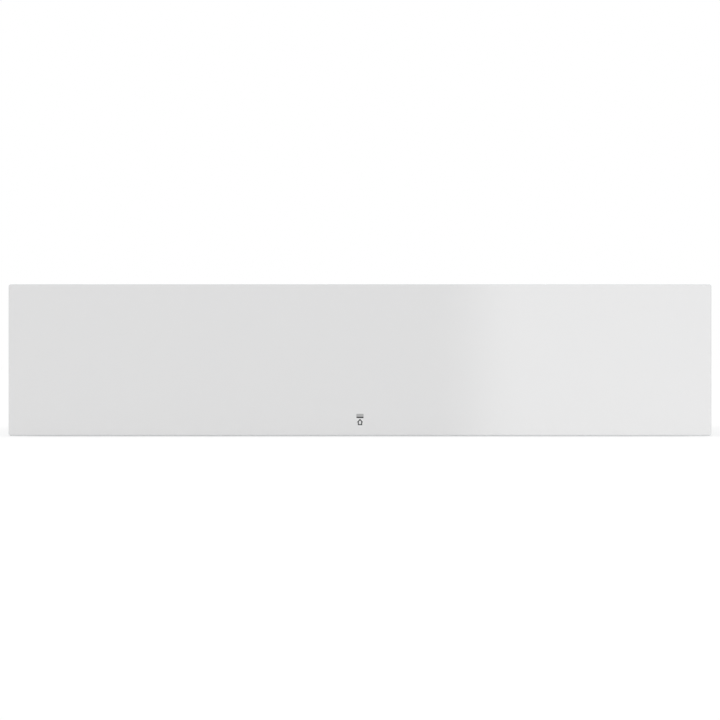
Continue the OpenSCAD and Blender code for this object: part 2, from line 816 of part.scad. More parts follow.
deck_play = 0.2;
deck_w = tray_w + 2 * (deck_play + deck_t);
touch_y = y_tray + 4 + touch_d / 2;
window_w = 190;
window_d = 26;

module deck() {
    d = tray_d + deck_play + deck_t;
    hole_w = chamber_w + 2 * (groove_out + 0.5);
    hole_d = chamber_d + 2 * (groove_out + 0.5);
    color("#cfd1d2") difference() {
        union() {
            translate([0, y_tray + d / 2, z_deck - deck_t]) linear_extrude(deck_t)
                square([deck_w, d], center = true);
            for (s = [-1, 1])
                translate([s > 0 ? deck_w / 2 - deck_t : -deck_w / 2, y_tray, z_deck - deck_rim])
                    cube([deck_t, d, deck_rim]);
            translate([-deck_w / 2, y_tray + d - deck_t, z_deck - deck_rim])
                cube([deck_w, deck_t, deck_rim]);
        }
        translate([0, chamber_y, z_deck - deck_t - eps]) linear_extrude(deck_t + 2 * eps)
            rounded_rect(hole_w, hole_d, chamber_r + groove_out + 0.5);
        translate([0, touch_y, z_deck - deck_t - eps]) linear_extrude(deck_t + 2 * eps)
            rounded_rect(window_w, window_d, 3);
        deck_screw_holes();
    }
}

module deck_screw_holes() {
    for (p = deck_screw_points) translate([p[0], p[1], z_deck - deck_t - sheet_t - eps])
        cylinder(r = deck_screw_r + 0.1, h = deck_t + sheet_t + 2 * eps);
}

module touch_glass() {
    color("#101214") translate([0, touch_y, z_deck]) arris_plate(touch_w, touch_d, touch_t, 3, arris);
}

module control_board() {
    board_w = window_w + 24;
    board_d = window_d + 8;
    z = z_deck - deck_t - 1.6;
    color("#1f5a3a") translate([0, touch_y, z]) {
        linear_extrude(1.6) rounded_rect(board_w, board_d, 2);
        for (x = [-80, -48, -16, 16, 48, 80]) translate([x, 0, 1.6]) {
            cylinder(r = 6, h = deck_t);
        }
        translate([-20, -6, -8]) cube([40, 12, 8]);
        translate([60, -5, -6]) cube([24, 10, 6]);
    }
}

// Vacuum chamber

// Section of the drawn tub, from the corner's axis outwards: floor, wall, ledge, groove and lip
module tub_section() {
    t = tub_t;
    r = chamber_r;
    g = r + groove_in;
    translate([0, z_floor - t]) square([r - floor_r, t]);
    intersection() {
        translate([r - floor_r, z_floor + floor_r]) difference() {
            circle(floor_r + t);
            circle(floor_r);
        }
        translate([r - floor_r, z_floor - t]) square([floor_r + t, floor_r + t]);
    }
    translate([r, z_floor + floor_r]) square([t, z_rim - z_floor - floor_r]);
    translate([r, z_rim - t]) square([groove_in, t]);
    translate([g - t, z_rim - groove_h - t]) square([t, groove_h + t]);
    translate([g - t, z_rim - groove_h - t]) square([groove_w + 2 * t, t]);
    translate([g + groove_w, z_rim - groove_h - t]) square([t, groove_h + t]);
    translate([g + groove_w, z_rim - t]) square([t + lip_w, t]);
}

clamp_z = z_seal - 6;
clamp_in = 6;
clamp_axis_y = chamber_front + clamp_in;
clamp_pin_r = 1.5;
clamp_tip_r = 1.6;
clamp_ear_t = 2;
clamp_reach = seal_in - seal_d / 2 - clamp_in - clamp_tip_r - 2.5;
shelf_h = 0.2 * chamber_deep;

// The spot-welded shelf under the bag clamp, with an ear at each end for the clamp's pin
module clamp_shelf() {
    top = clamp_z - clamp_tip_r - run_gap;
    half = bag_clamp_w / 2;
    translate([-half - clamp_ear_t, chamber_front, top - tub_t])
        cube([bag_clamp_w + 2 * clamp_ear_t, clamp_in + clamp_reach, tub_t]);
    translate([-half - clamp_ear_t, chamber_front, top - shelf_h])
        cube([bag_clamp_w + 2 * clamp_ear_t, tub_t, shelf_h]);
    for (x = [half, -half - clamp_ear_t]) translate([x, chamber_front, top - tub_t])
        cube([clamp_ear_t, clamp_in + 5, clamp_z - top + tub_t + 4]);
}

module chamber_tub() {
    color("#d4d6d7") difference() {
        union() {
            translate([0, chamber_y, 0]) {
                around_rectangle(chamber_w, chamber_d, chamber_r) tub_section();
                translate([chamber_r - chamber_w / 2, chamber_r - chamber_d / 2, z_floor - tub_t])
                    cube([chamber_w - 2 * chamber_r, chamber_d - 2 * chamber_r, tub_t]);
            }
            clamp_shelf();
        }
        for (s = [-1, 1]) translate([s * piston_x, seal_y, z_floor - tub_t - eps])
            cylinder(r = neck_r + 0.1, h = tub_t + 2 * eps);
        translate([port_x, chamber_rear - eps, port_z]) along_y()
            cylinder(r = port_r + 2.6, h = tub_t + 2 * eps);
        translate([-bag_clamp_w, clamp_axis_y, clamp_z]) along_x()
            cylinder(r = clamp_pin_r + pin_play, h = 2 * bag_clamp_w);
    }
}

module chamber_gasket() {
    half = groove_w / 2 - 0.1;
    crown = 2.6;
    middle = chamber_r + groove_in + groove_w / 2;
    color("#4b4e51") translate([0, chamber_y, 0])
        around_rectangle(chamber_w, chamber_d, chamber_r) translate([middle, 0]) {
            translate([-half, z_rim - groove_h]) square([2 * half, z_gasket - crown - z_rim + groove_h]);
            translate([crown - half, z_gasket - crown]) square([2 * (half - crown), crown]);
            for (s = [-1, 1]) translate([s * (half - crown), z_gasket - crown]) circle(crown);
        }
}

// Suction fitting through the chamber's rear wall, with a hose barb behind
port_x = 0;
port_z = z_rim - 21;
port_r = 5;
port_flange = 3;
port_tail = 19;

module suction_port() {
    color("#c3a664") translate([port_x, chamber_rear, port_z]) along_y() difference() {
        union() {
            translate([0, 0, -port_flange]) cylinder(r = port_r + 6, h = port_flange);
            cylinder(r = port_r + 2.5, h = 9);
            translate([0, 0, tub_t]) rotate(30) cylinder(r = port_r + 6.5, h = 4, $fn = 6);
            translate([0, 0, 9]) cylinder(r = hose_stub, h = port_tail - 9);
        }
        translate([0, 0, -port_flange - eps]) cylinder(r = port_r, h = port_flange + 8 + eps);
        translate([0, 0, 4]) cylinder(r = hose_r - hose_wall - 1, h = port_tail);
    }
}

// Sealing bar, its lift and the bag clamp

neck_r = rod_r + 3;
cyl_wall = 2.5;
cyl_h = z_floor - tub_t - z_tray_floor - 1.5;
cyl_z = z_floor - tub_t - cyl_h;

module seal_cylinders() {
    bore = piston_r + 0.2;
    color("#b7babd") for (s = [-1, 1]) translate([s * piston_x, seal_y, cyl_z]) {
        difference() {
            union() {
                cylinder(r = piston_r + cyl_wall, h = cyl_h);
                translate([0, 0, cyl_h]) cylinder(r = neck_r, h = tub_t + 6);
            }
            translate([0, 0, 2]) cylinder(r = bore, h = cyl_h - 4.5);
            translate([0, 0, 2]) cylinder(r = rod_r + pin_play, h = cyl_h + tub_t + 6);
        }
        translate([0, 0, cyl_h + tub_t]) difference() {
            cylinder(r = neck_r + 4.5, h = 4, $fn = 6);
            translate([0, 0, -eps]) cylinder(r = neck_r + 0.05, h = 4 + 2 * eps);
        }
    }
}

z_bar = z_seal - 0.6 - seal_h;

module lift_pistons() {
    color("#cfd2d4") for (s = [-1, 1]) translate([s * piston_x, seal_y, cyl_z + 2 + run_gap]) {
        cylinder(r = piston_r, h = piston_t);
        cylinder(r = rod_r, h = z_bar - cyl_z - 2 - run_gap);
    }
}

// Extruded aluminium carrier with side grooves and end caps
module seal_bar() {
    color("#c2c6c9") translate([-seal_w / 2, seal_y, z_bar]) {
        rotate([90, 0, 90]) linear_extrude(seal_w) difference() {
            translate([-seal_d / 2, 0]) square([seal_d, seal_h]);
            for (s = [-1, 1]) translate([s * seal_d / 2, 0.36 * seal_h]) {
                circle(2);
                translate([0, -6]) square([1, 2], center = true);
            }
        }
        for (x = [-2, seal_w]) translate([x, -seal_d / 2, 0]) cube([2, seal_d, seal_h - 1]);
        for (x = [-3.4, seal_w + 2], z = [0.3, 0.75]) translate([x, 0, z * seal_h]) along_x()
            difference() {
                cylinder(r = 3, h = 1.4);
                translate([0, 0, x > 0 ? 0.7 : -eps]) linear_extrude(0.7 + eps) slot(7, 0.8);
            }
    }
}

// Heating wires under a fluoropolymer tape that wraps the top of the bar
module seal_band() {
    wire_gap = 5;
    tape = 0.6;
    drop = 6;
    color("#8a6a45") translate([-seal_w / 2 + 6, seal_y, z_bar + seal_h])
        rotate([90, 0, 90]) linear_extrude(seal_w - 12) {
            translate([-seal_d / 2 - tape, 0]) square([seal_d + 2 * tape, tape]);
            for (y = [-wire_gap / 2, wire_gap / 2]) translate([y - 0.9, 0]) square([1.8, tape + 0.2]);
            for (s = [-1, 1]) translate([s * (seal_d / 2 + tape / 2), -drop / 2 + tape / 2])
                square([tape, drop + tape], center = true);
        }
}

// A flap on a pin, with a rounded tip that holds the bag's mouth on the shelf
module bag_clamp() {
    plate = 1.2;
    tab = 0.3 * bag_clamp_w;
    color("#d0d3d5") translate([0, clamp_axis_y, clamp_z]) {
        translate([-bag_clamp_w / 2 - clamp_ear_t - 1.5, 0, 0]) along_x()
            cylinder(r = clamp_pin_r, h = bag_clamp_w + 2 * clamp_ear_t + 3);
        translate([-bag_clamp_w / 2 + 1, 0, -plate / 2]) cube([bag_clamp_w - 2, clamp_reach, plate]);
        translate([-bag_clamp_w / 2 + 1, clamp_reach, 0]) along_x()
            cylinder(r = clamp_tip_r, h = bag_clamp_w - 2);
        translate([-tab / 2, clamp_reach - 1, 0]) rotate([50, 0, 0]) cube([tab, plate, 7]);
    }
}

// Glass lid

lid_d = lid_rear - lid_front;
lid_y = (lid_front + lid_rear) / 2;

module lid_glass() {
    color("#c8dcd8") translate([0, lid_y, z_lid]) arris_plate(lid_w, lid_d, lid_t, lid_r, arris);
}

// Clamps that grip the glass's rear edge and turn on the hinge pins
module hinge_arms() {
    grip = hinge_strip - 5;
    color("#a4a8ab") both_sides() translate([hinge_x, y_hinge, z_hinge]) {
        half = lid_t / 2 + bond;
        difference() {
            union() {
                for (z = [half, -half - clamp_t])
                    translate([-knuckle_w / 2, -hinge_back - grip, z])
                        cube([knuckle_w, grip + 2.5, clamp_t]);
                translate([-knuckle_w / 2, -hinge_back, -half - clamp_t])
                    cube([knuckle_w, 2.5, 2 * (half + clamp_t)]);
                translate([-knuckle_w / 2, -hinge_back, -3]) cube([knuckle_w, hinge_back, 6]);
                translate([-knuckle_w / 2, 0, 0]) along_x() cylinder(r = knuckle_r, h = knuckle_w);
            }
            translate([-knuckle_w, 0, 0]) along_x() cylinder(r = hinge_pin_r + pin_play, h = 2 * knuckle_w);
        }
    }
}

ear_t = 4;
ear_r = 7;
foot_t = 1.5;

module hinge_brackets() {
    foot_d = 22;
    inner = knuckle_w / 2 + run_gap;
    color("#a4a8ab") both_sides() translate([hinge_x, y_hinge, z_hinge]) difference() {
        union() {
            for (s = [-1, 1]) translate([s > 0 ? inner : -inner - ear_t, 0, 0]) {
                along_x() cylinder(r = ear_r - 0.5, h = ear_t);
                translate([0, 0.5 - ear_r, z_deck - z_hinge]) cube([ear_t, 2 * ear_r - 1, z_hinge - z_deck]);
            }
            translate([-inner - ear_t, ear_r - 0.5, z_deck - z_hinge])
                cube([2 * (inner + ear_t), foot_d, foot_t]);
            translate([-inner - ear_t, ear_r - 0.5, z_deck - z_hinge])
                cube([2 * (inner + ear_t), 3, 5]);
        }
        translate([-knuckle_w, 0, 0]) along_x() cylinder(r = hinge_pin_r + 0.02, h = 2 * knuckle_w);
        for (s = [-1, 1]) translate([s * 14, ear_r + foot_d - 8, z_deck - z_hinge - eps])
            cylinder(r = 2.2, h = foot_t + 2 * eps);
    }
}

module hinge_pins() {
    length = knuckle_w + 2 * (run_gap + ear_t) + 2;
    color("#d9dcde") both_sides() translate([hinge_x - length / 2, y_hinge, z_hinge]) along_x()
        cylinder(r = hinge_pin_r, h = length);
}

counter_h = 5;
strip_w = 12;

module counter_bar() {
    color("#c2c6c9") translate([-seal_w / 2, seal_y, z_lid - bond - counter_h]) rotate([90, 0, 90])
        linear_extrude(seal_w) difference() {
            translate([-(strip_w + 5) / 2, 0]) square([strip_w + 5, counter_h]);
            translate([-strip_w / 2, -eps]) square([strip_w, counter_h - 2 + eps]);
        }
}

// Silicone strip that the sealing bar presses the bag against
module counter_strip() {
    low = z_seal + seal_stroke + 0.5;
    color("#b4553b") translate([-seal_w / 2 + 1, seal_y - strip_w / 2 + 0.1, low])
        cube([seal_w - 2, strip_w - 0.2, z_lid - bond - 2 - low]);
}

module lid_grip() {
    depth = 14;
    wall = 1.6;
    color("#cfd1d2") translate([-grip_w / 2, lid_front, z_lid]) rotate([90, 0, 90]) linear_extrude(grip_w) {
        difference() {
            translate([-depth + 4, -wall]) square([depth, lid_t + 2 * wall]);
            translate([0, 0]) square([depth, lid_t]);
            translate([-depth + 4 + wall, wall]) square([depth - 4 - 2 * wall, lid_t - 2 * wall]);
        }
    }
}

// Pump unit

motor_y = bay_y;
plate_z = z_tray_floor + 7.8;
plate_t = 2;
motor_z = plate_z + plate_t + 2 + motor_r;
stator_x = motor_x - stator_len / 2;
pump_x = motor_x + stator_len / 2 + bell_len;
rotor_r = 0.55 * motor_r;
air_gap = 0.4;
pump_r = motor_r - 6;

module at_motor(x) { translate([x, motor_y, motor_z]) along_x() children(); }

module motor_stator() {
    color("#8f9396") at_motor(stator_x) difference() {
        cylinder(r = motor_r, h = stator_len);
        translate([0, 0, -eps]) cylinder(r = rotor_r + air_gap, h = stator_len + 2 * eps);
        for (a = bolt_angles) rotate(a) translate([motor_r, 0, -eps])
            cylinder(r = 3, h = stator_len + 2 * eps);
    }
}

module motor_windings() {
    mid = (rotor_r + motor_r) / 2 - 1;
    color("#b36a3c") for (x = [stator_x - 9, stator_x + stator_len]) at_motor(x)
        rotate_extrude() translate([mid, 4.5]) {
            square([10, 5], center = true);
            square([6, 9], center = true);
            for (sx = [-1, 1], sy = [-1, 1]) translate([sx * 3, sy * 2.5]) circle(2);
        }
}

bolt_angles = [45, 135, 225, 315];
bolt_circle = motor_r + 4.2;
motor_bolt_r = 1.9;
lug_h = 6;

// Tie bolts that run past the stator from lug to lug, with a hexagon head and a nut
module motor_bolts() {
    run = stator_len + 2 * lug_h;
    color("#b0b4b7") at_motor(stator_x - lug_h) for (a = bolt_angles)
        rotate(a) translate([bolt_circle, 0, 0]) {
        translate([0, 0, -2.6]) cylinder(r = 3.6, h = 2.6, $fn = 6);
        cylinder(r = motor_bolt_r, h = run + 5);
        translate([0, 0, run]) cylinder(r = 3.6, h = 3, $fn = 6);
    }
}

// A drawn cup with vents and a bearing seat, mouth at z = 0
module end_bell() {
    wall = 2.5;
    difference() {
        union() {
            difference() {
                cylinder(r = motor_r, h = bell_len);
                translate([0, 0, -eps]) cylinder(r = motor_r - wall, h = bell_len - wall + eps);
            }
            translate([0, 0, bearing_in]) cylinder(r = bearing_r + wall, h = bearing_w + 2);
            for (a = bolt_angles) rotate(a) translate([bolt_circle, 0, 0]) cylinder(r = 5.5, h = lug_h);
        }
        for (a = bolt_angles) rotate(a) translate([bolt_circle, 0, -eps])
            cylinder(r = motor_bolt_r + 0.1, h = lug_h + 2 * eps);
        translate([0, 0, bearing_in - eps]) cylinder(r = bearing_r + 0.02, h = bearing_w + eps);
        cylinder(r = shaft_r + 1, h = bell_len + eps);
        for (a = [0:60:300]) rotate(a) translate([(bearing_r + motor_r) / 2, 0, bell_len - wall - eps])
            linear_extrude(wall + 2 * eps) slot(14, 7);
    }
}

module motor_end_bells() {
    color("#9da1a4") {
        at_motor(stator_x + stator_len) end_bell();
        translate([stator_x, motor_y, motor_z]) rotate([0, -90, 0]) end_bell();
    }
}

bearing_in = bell_len - 2 - bearing_w;

module motor_bearings() {
    color("#d5d8da") for (x = [stator_x - bearing_in - bearing_w, stator_x + stator_len + bearing_in])
        at_motor(x) difference() {
            ring(bearing_r, shaft_r + pin_play, bearing_w);
            for (z = [-eps, bearing_w - 0.8]) translate([0, 0, z])
                ring(bearing_r - 1.8, shaft_r + 2, 0.8 + eps);
        }
}

fan_w = 9;
fan_x = stator_x - bell_len - 3 - fan_w;
shaft_end = pump_x + 30;

module motor_rotor() {
    color("#b8bbbd") {
        at_motor(fan_x - 3) cylinder(r = shaft_r, h = shaft_end - fan_x + 3);
        at_motor(stator_x + 1) cylinder(r = rotor_r, h = stator_len - 2);
    }
}

module cooling_fan() {
    hub = 9;
    fan_r = motor_r - fan_in;
    blade = (fan_w - 1.4) / cos(fan_tilt);
    color("#3c4043") at_motor(fan_x) difference() {
        union() {
            cylinder(r = hub, h = fan_w);
            for (i = [0:fan_blades - 1]) rotate(i * 360 / fan_blades)
                translate([hub - 1.5, 0, fan_w / 2]) rotate([fan_tilt, 0, 0])
                    translate([0, -0.7, -blade / 2]) cube([fan_r - hub + 0.7, 1.4, blade]);
            ring(fan_r, fan_r - 1.5, fan_w);
        }
        translate([0, 0, -eps]) cylinder(r = shaft_r + 0.02, h = fan_w + 2 * eps);
    }
}

pump_port_x = pump_x + 0.42 * pump_len;
pump_inlet_y = line_y + bend_r + 9;
pump_core = pump_r - 5;

// Finned rotary-vane pump casing with its cover, its inlet low in front and its silencer on top
module pump_body() {
    pitch = pump_len / pump_fins;
    color("#8b8f93") difference() {
        union() {
            at_motor(pump_x) {
                cylinder(r = pump_core, h = pump_len);
                for (i = [0:pump_fins - 1]) translate([0, 0, i * pitch])
                    cylinder(r = pump_r, h = 0.45 * pitch);
                translate([0, 0, pump_len]) cylinder(r = pump_core + 3, h = 6);
                for (a = [0:60:300]) rotate(a + 30) translate([pump_core - 4, 0, pump_len + 6])
                    cylinder(r = 3.4, h = 2.4, $fn = 6);
            }
            translate([pump_port_x, pump_inlet_y, line_z]) along_y() {
                cylinder(r = 7, h = motor_y - pump_inlet_y);
                translate([0, 0, -8]) cylinder(r = hose_stub, h = 9);
            }
            translate([pump_port_x + 6, motor_y, motor_z]) cylinder(r = 7, h = pump_r);
            translate([pump_port_x + 6, motor_y, motor_z + pump_r]) cylinder(r = 9, h = 3);
        }
        at_motor(pump_x - eps) cylinder(r = shaft_r + 0.4, h = shaft_end - pump_x + 3);
        translate([pump_port_x, pump_inlet_y - 8 - eps, line_z]) along_y() cylinder(r = 2, h = 24);
    }
}

// Cradle plate that the motor and the pump stand on
module pump_bracket() {
    x0 = stator_x - bell_len - 6;
    x1 = pump_x + pump_len + 8;
    saddle_h = motor_z - plate_z - plate_t - 0.5 * motor_r;
    plate_d = 1.6 * motor_r;
    color("#a7abae") difference() {
        union() {
            translate([x0, motor_y - plate_d / 2, plate_z]) cube([x1 - x0, plate_d, plate_t]);
            for (x = saddle_xs) translate([x - 4, motor_y - 0.65 * motor_r, plate_z])
                cube([8, 1.3 * motor_r, saddle_h + plate_t]);
        }
        at_motor(x0 - eps) cylinder(r = motor_r, h = x1 - x0 + 2 * eps);
        for (p = buffer_points) translate([p[0], p[1], plate_z - eps])
            cylinder(r = 2.6, h = plate_t + 2 * eps);
    }
}

saddle_xs = [stator_x + 8, stator_x + stator_len - 8];
buffer_xs = [stator_x - bell_len + 2, pump_x + pump_len - 2];
buffer_points = [for (x = buffer_xs, s = [-1, 1]) [x, motor_y + s * 0.6 * motor_r]];

module rubber_buffers() {
    color("#26282a") for (p = buffer_points) translate([p[0], p[1], z_tray_floor]) {
        rotate_extrude() difference() {
            square([8, plate_z - z_tray_floor]);
            translate([10, (plate_z - z_tray_floor) / 2]) circle(3.4);
        }
        translate([0, 0, plate_z - z_tray_floor]) cylinder(r = 2.5, h = plate_t + 4);
        translate([0, 0, plate_z - z_tray_floor + plate_t]) cylinder(r = 4.4, h = 3, $fn = 6);
    }
}

// Valve, hoses and electrics

valve_w = 40;
valve_d = 42;
valve_h = 34;
coil_len = 33;
valve_y = bay_front + 8 + valve_d / 2;
suction_y = chamber_rear + port_tail + bend_r + 1;

module fitting(length) {
    cylinder(r = 8, h = 3, $fn = 6);
    cylinder(r = hose_stub, h = length);
}

module valve_block() {
    color("#b9bcbe") difference() {
        union() {
            translate([-valve_w / 2, valve_y - valve_d / 2, z_tray_floor]) cube([valve_w, valve_d, valve_h]);
            translate([port_x, suction_y, z_tray_floor + valve_h]) fitting(14);
            translate([valve_w / 2, line_y, line_z]) along_x() fitting(14);
            for (sx = [-1, 1], sy = [-1, 1])
                translate([sx * (valve_w / 2 - 5), valve_y + sy * (valve_d / 2 - 5), z_tray_floor + valve_h])
                    pan_head(2.6, 1.8, 1);
        }
        translate([port_x, suction_y, z_tray_floor + valve_h - 8]) cylinder(r = 2, h = 30);
        translate([valve_w / 2 - 8, line_y, line_z]) along_x() cylinder(r = 2, h = 30);
    }
}

module valve_coil() {
    color("#2b2d30") translate([-valve_w / 2, valve_y, z_tray_floor + valve_h / 2]) rotate([0, -90, 0]) {
        cylinder(r = 12, h = 3);
        translate([0, 0, 3]) linear_extrude(coil_len - 7) rounded_rect(26, 26, 4);
        translate([0, 0, coil_len - 4]) cylinder(r = 5.5, h = 4, $fn = 6);
        translate([12, -8, 8]) cube([10, 16, 14]);
    }
}

module hose_section() {
    difference() {
        circle(hose_r);
        circle(hose_r - hose_wall);
    }
}

// Runs back from the suction port and drops on to the valve
module suction_hose() {
    y0 = chamber_rear + 11;
    y_bend = suction_y - bend_r;
    z1 = z_tray_floor + valve_h + 4;
    color("#3f4346") translate([port_x, 0, 0]) {
        translate([0, y0, port_z]) along_y() linear_extrude(y_bend - y0) hose_section();
        translate([0, y_bend, port_z - bend_r]) rotate([90, 0, 90])
            rotate_extrude(angle = 90) translate([bend_r, 0]) hose_section();
        translate([0, suction_y, z1]) linear_extrude(port_z - bend_r - z1) hose_section();
    }
}

// Runs across the bay from the valve and turns back into the pump's inlet
module pump_hose() {
    x0 = valve_w / 2 + 4;
    x_bend = pump_port_x - bend_r;
    y1 = pump_inlet_y - 0.5;
    color("#3f4346") {
        translate([x0, line_y, line_z]) along_x() linear_extrude(x_bend - x0) hose_section();
        translate([x_bend, line_y + bend_r, line_z]) rotate(-90)
            rotate_extrude(angle = 90) translate([bend_r, 0]) hose_section();
        translate([pump_port_x, line_y + bend_r, line_z]) along_y()
            linear_extrude(y1 - line_y - bend_r) hose_section();
    }
}

board_w = 0.1735 * tray_w;
board_t = 1.6;
board_x = board_w / 2 + 7.1 - tray_w / 2;
board_post = 12;
toroid_x = (board_x + board_w / 2 - valve_w / 2 - coil_len) / 2;
toroid_h = 38;

module transformer() {
    color("#c9a227") translate([toroid_x, bay_y, z_tray_floor]) {
        rotate_extrude() difference() {
            translate([14, 0]) square([toroid_r - 14, toroid_h]);
            for (z = [0, toroid_h]) translate([toroid_r, z]) difference() {
                square(12, center = true);
                translate([-6, z > 0 ? -6 : 6]) circle(6);
            }
        }
        translate([0, 0, toroid_h]) cylinder(r1 = 26, r2 = 22, h = 3);
        cylinder(r = 13.9, h = toroid_h);
        translate([0, 0, toroid_h + 3]) cylinder(r = 6, h = 4, $fn = 6);
    }
}

// Board on four posts, with capacitors, relays, a filter choke, a heat sink and plug terminals
module power_board() {
    color("#2d6b45") translate([board_x, bay_y, z_tray_floor]) {
        for (sx = [-1, 1], sy = [-1, 1])
            translate([sx * (board_w / 2 - 6), sy * (board_d / 2 - 6), 0]) cylinder(r = 3, h = board_post);
        translate([0, 0, board_post]) linear_extrude(board_t) rounded_rect(board_w, board_d, 3);
        translate([0, 0, board_post + board_t]) {
            for (x = [-0.33, -0.13]) translate([x * board_w, 0.27 * board_d, 0]) cylinder(r = 8, h = 28);
            for (i = [-1, 0, 1]) translate([0.15 * board_w, i * 0.24 * board_d, 0])
                cube([0.28 * board_w, 0.17 * board_d, 18]);
            translate([-0.3 * board_w, 0.02 * board_d, 0]) ring(10, 4.5, 11);
            translate([-0.43 * board_w, -0.41 * board_d, 0]) heat_sink(0.45 * board_w, 0.22 * board_d, 24);
            for (i = [0:3]) translate([(0.1 * i + 0.07) * board_w, -0.46 * board_d, 0])
                cube([0.076 * board_w, 9, 10]);
        }
    }
}

module heat_sink(w, d, h) {
    fins = 6;
    cube([w, d, 4]);
    for (i = [0:fins - 1]) translate([i * (w - 2) / (fins - 1), 0, 0]) cube([2, d, h]);
}

housing_base();
color("#b9bdc0") mirror([1, 0, 0]) housing_side();  // housing_side_left
color("#b9bdc0") housing_side();  // housing_side_right
housing_rear();
housing_glides();
runner_outer(-1);  // runner_outer_left
runner_outer(1);  // runner_outer_right
housing_fixings();
latch_body();
mains_inlet();
inlet_pins();
latch_plunger();
runner_middle(-1);  // runner_middle_left
runner_middle(1);  // runner_middle_right
ball_cage(-1, outer_cage_web, row_outer, outer_cage_y);  // outer_cage_left
ball_cage(1, outer_cage_web, row_outer, outer_cage_y);  // outer_cage_right
ball_cage(-1, inner_cage_web, row_inner, inner_cage_y);  // inner_cage_left
ball_cage(1, inner_cage_web, row_inner, inner_cage_y);  // inner_cage_right
drawer_tray();
runner_inner(-1);  // runner_inner_left
runner_inner(1);  // runner_inner_right
front_glass();
front_frame();
front_brackets();
drawer_screws();
deck();
touch_glass();
control_board();
chamber_tub();
chamber_gasket();
suction_port();
seal_cylinders();
hinge_brackets();
hinge_pins();
strike_plate();
valve_block();
valve_coil();
suction_hose();
pump_hose();
pump_body();
motor_stator();
motor_windings();
motor_end_bells();
motor_bearings();
pump_bracket();
rubber_buffers();
motor_bolts();
transformer();
power_board();
lid_glass();
hinge_arms();
counter_bar();
counter_strip();
lid_grip();
seal_bar();
seal_band();
lift_pistons();
bag_clamp();
motor_rotor();
cooling_fan();
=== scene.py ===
"""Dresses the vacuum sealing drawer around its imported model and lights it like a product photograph.

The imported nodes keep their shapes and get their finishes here. New pieces are the printed marks,
the small fasteners, the clips, the sealant and the welds, each made on the bench below in metres.
"""

import json
import logging
import math
from collections.abc import Callable, Iterable, Iterator
from contextlib import contextmanager
from dataclasses import dataclass
from enum import Enum
from typing import Any

import bpy
from mathutils import Matrix, Vector


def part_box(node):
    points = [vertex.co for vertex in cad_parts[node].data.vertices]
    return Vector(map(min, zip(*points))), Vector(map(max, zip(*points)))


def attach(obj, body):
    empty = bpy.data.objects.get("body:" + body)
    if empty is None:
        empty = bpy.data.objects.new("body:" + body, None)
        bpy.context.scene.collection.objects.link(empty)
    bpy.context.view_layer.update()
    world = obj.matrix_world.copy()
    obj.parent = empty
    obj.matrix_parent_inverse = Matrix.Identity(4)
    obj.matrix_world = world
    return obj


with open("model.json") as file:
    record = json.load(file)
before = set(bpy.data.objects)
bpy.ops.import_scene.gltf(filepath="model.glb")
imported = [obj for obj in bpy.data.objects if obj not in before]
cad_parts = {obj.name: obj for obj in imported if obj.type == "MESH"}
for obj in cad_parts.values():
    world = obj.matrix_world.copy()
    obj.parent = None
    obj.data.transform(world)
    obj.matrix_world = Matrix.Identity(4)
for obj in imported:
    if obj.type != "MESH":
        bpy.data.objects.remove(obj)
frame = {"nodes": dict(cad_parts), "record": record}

logging.basicConfig(level=logging.INFO, format="%(message)s")
LOG = logging.getLogger("vacuum_drawer")

MM = 0.001
TINY = 1e-6
SMOOTH_ANGLE = math.radians(35)
Tint = tuple[int, int, int]
Triple = tuple[float, float, float]
Point = tuple[float, float]
Outline = list[Point]
Test = Callable[[Vector, Vector], bool]
Socket = bpy.types.NodeSocket
Object = bpy.types.Object


def linear(tint: Tint) -> tuple[float, float, float, float]:
    """Turn a display tint into the linear colour that a shader wants.

    Args:
        tint: red, green and blue from 0 to 255.

    Returns:
        The linear red, green, blue and a full alpha.
    """
    parts = [c / 255 for c in tint]
    parts = [c / 12.92 if c <= 0.04045 else ((c + 0.055) / 1.055) ** 2.4 for c in parts]
    return (parts[0], parts[1], parts[2], 1.0)


class Axis(Enum):
    """A direction of the drawer unit."""

    X = (1.0, 0.0, 0.0)
    Y = (0.0, 1.0, 0.0)
    Z = (0.0, 0.0, 1.0)

    @property
    def unit(self) -> Vector:
        """The direction as a unit vector."""
        return Vector(self.value)


class Grain(Enum):
    """The pattern that a surface carries from how it was made."""

    SMOOTH = "smooth"
    SPANGLE = "zinc spangle"
    BRUSHED = "brushed"
    CAST = "cast"
    MOULDED = "moulded"
    ROLLED = "rolled and plated"
    STACKED = "stacked sheets"


# Materials


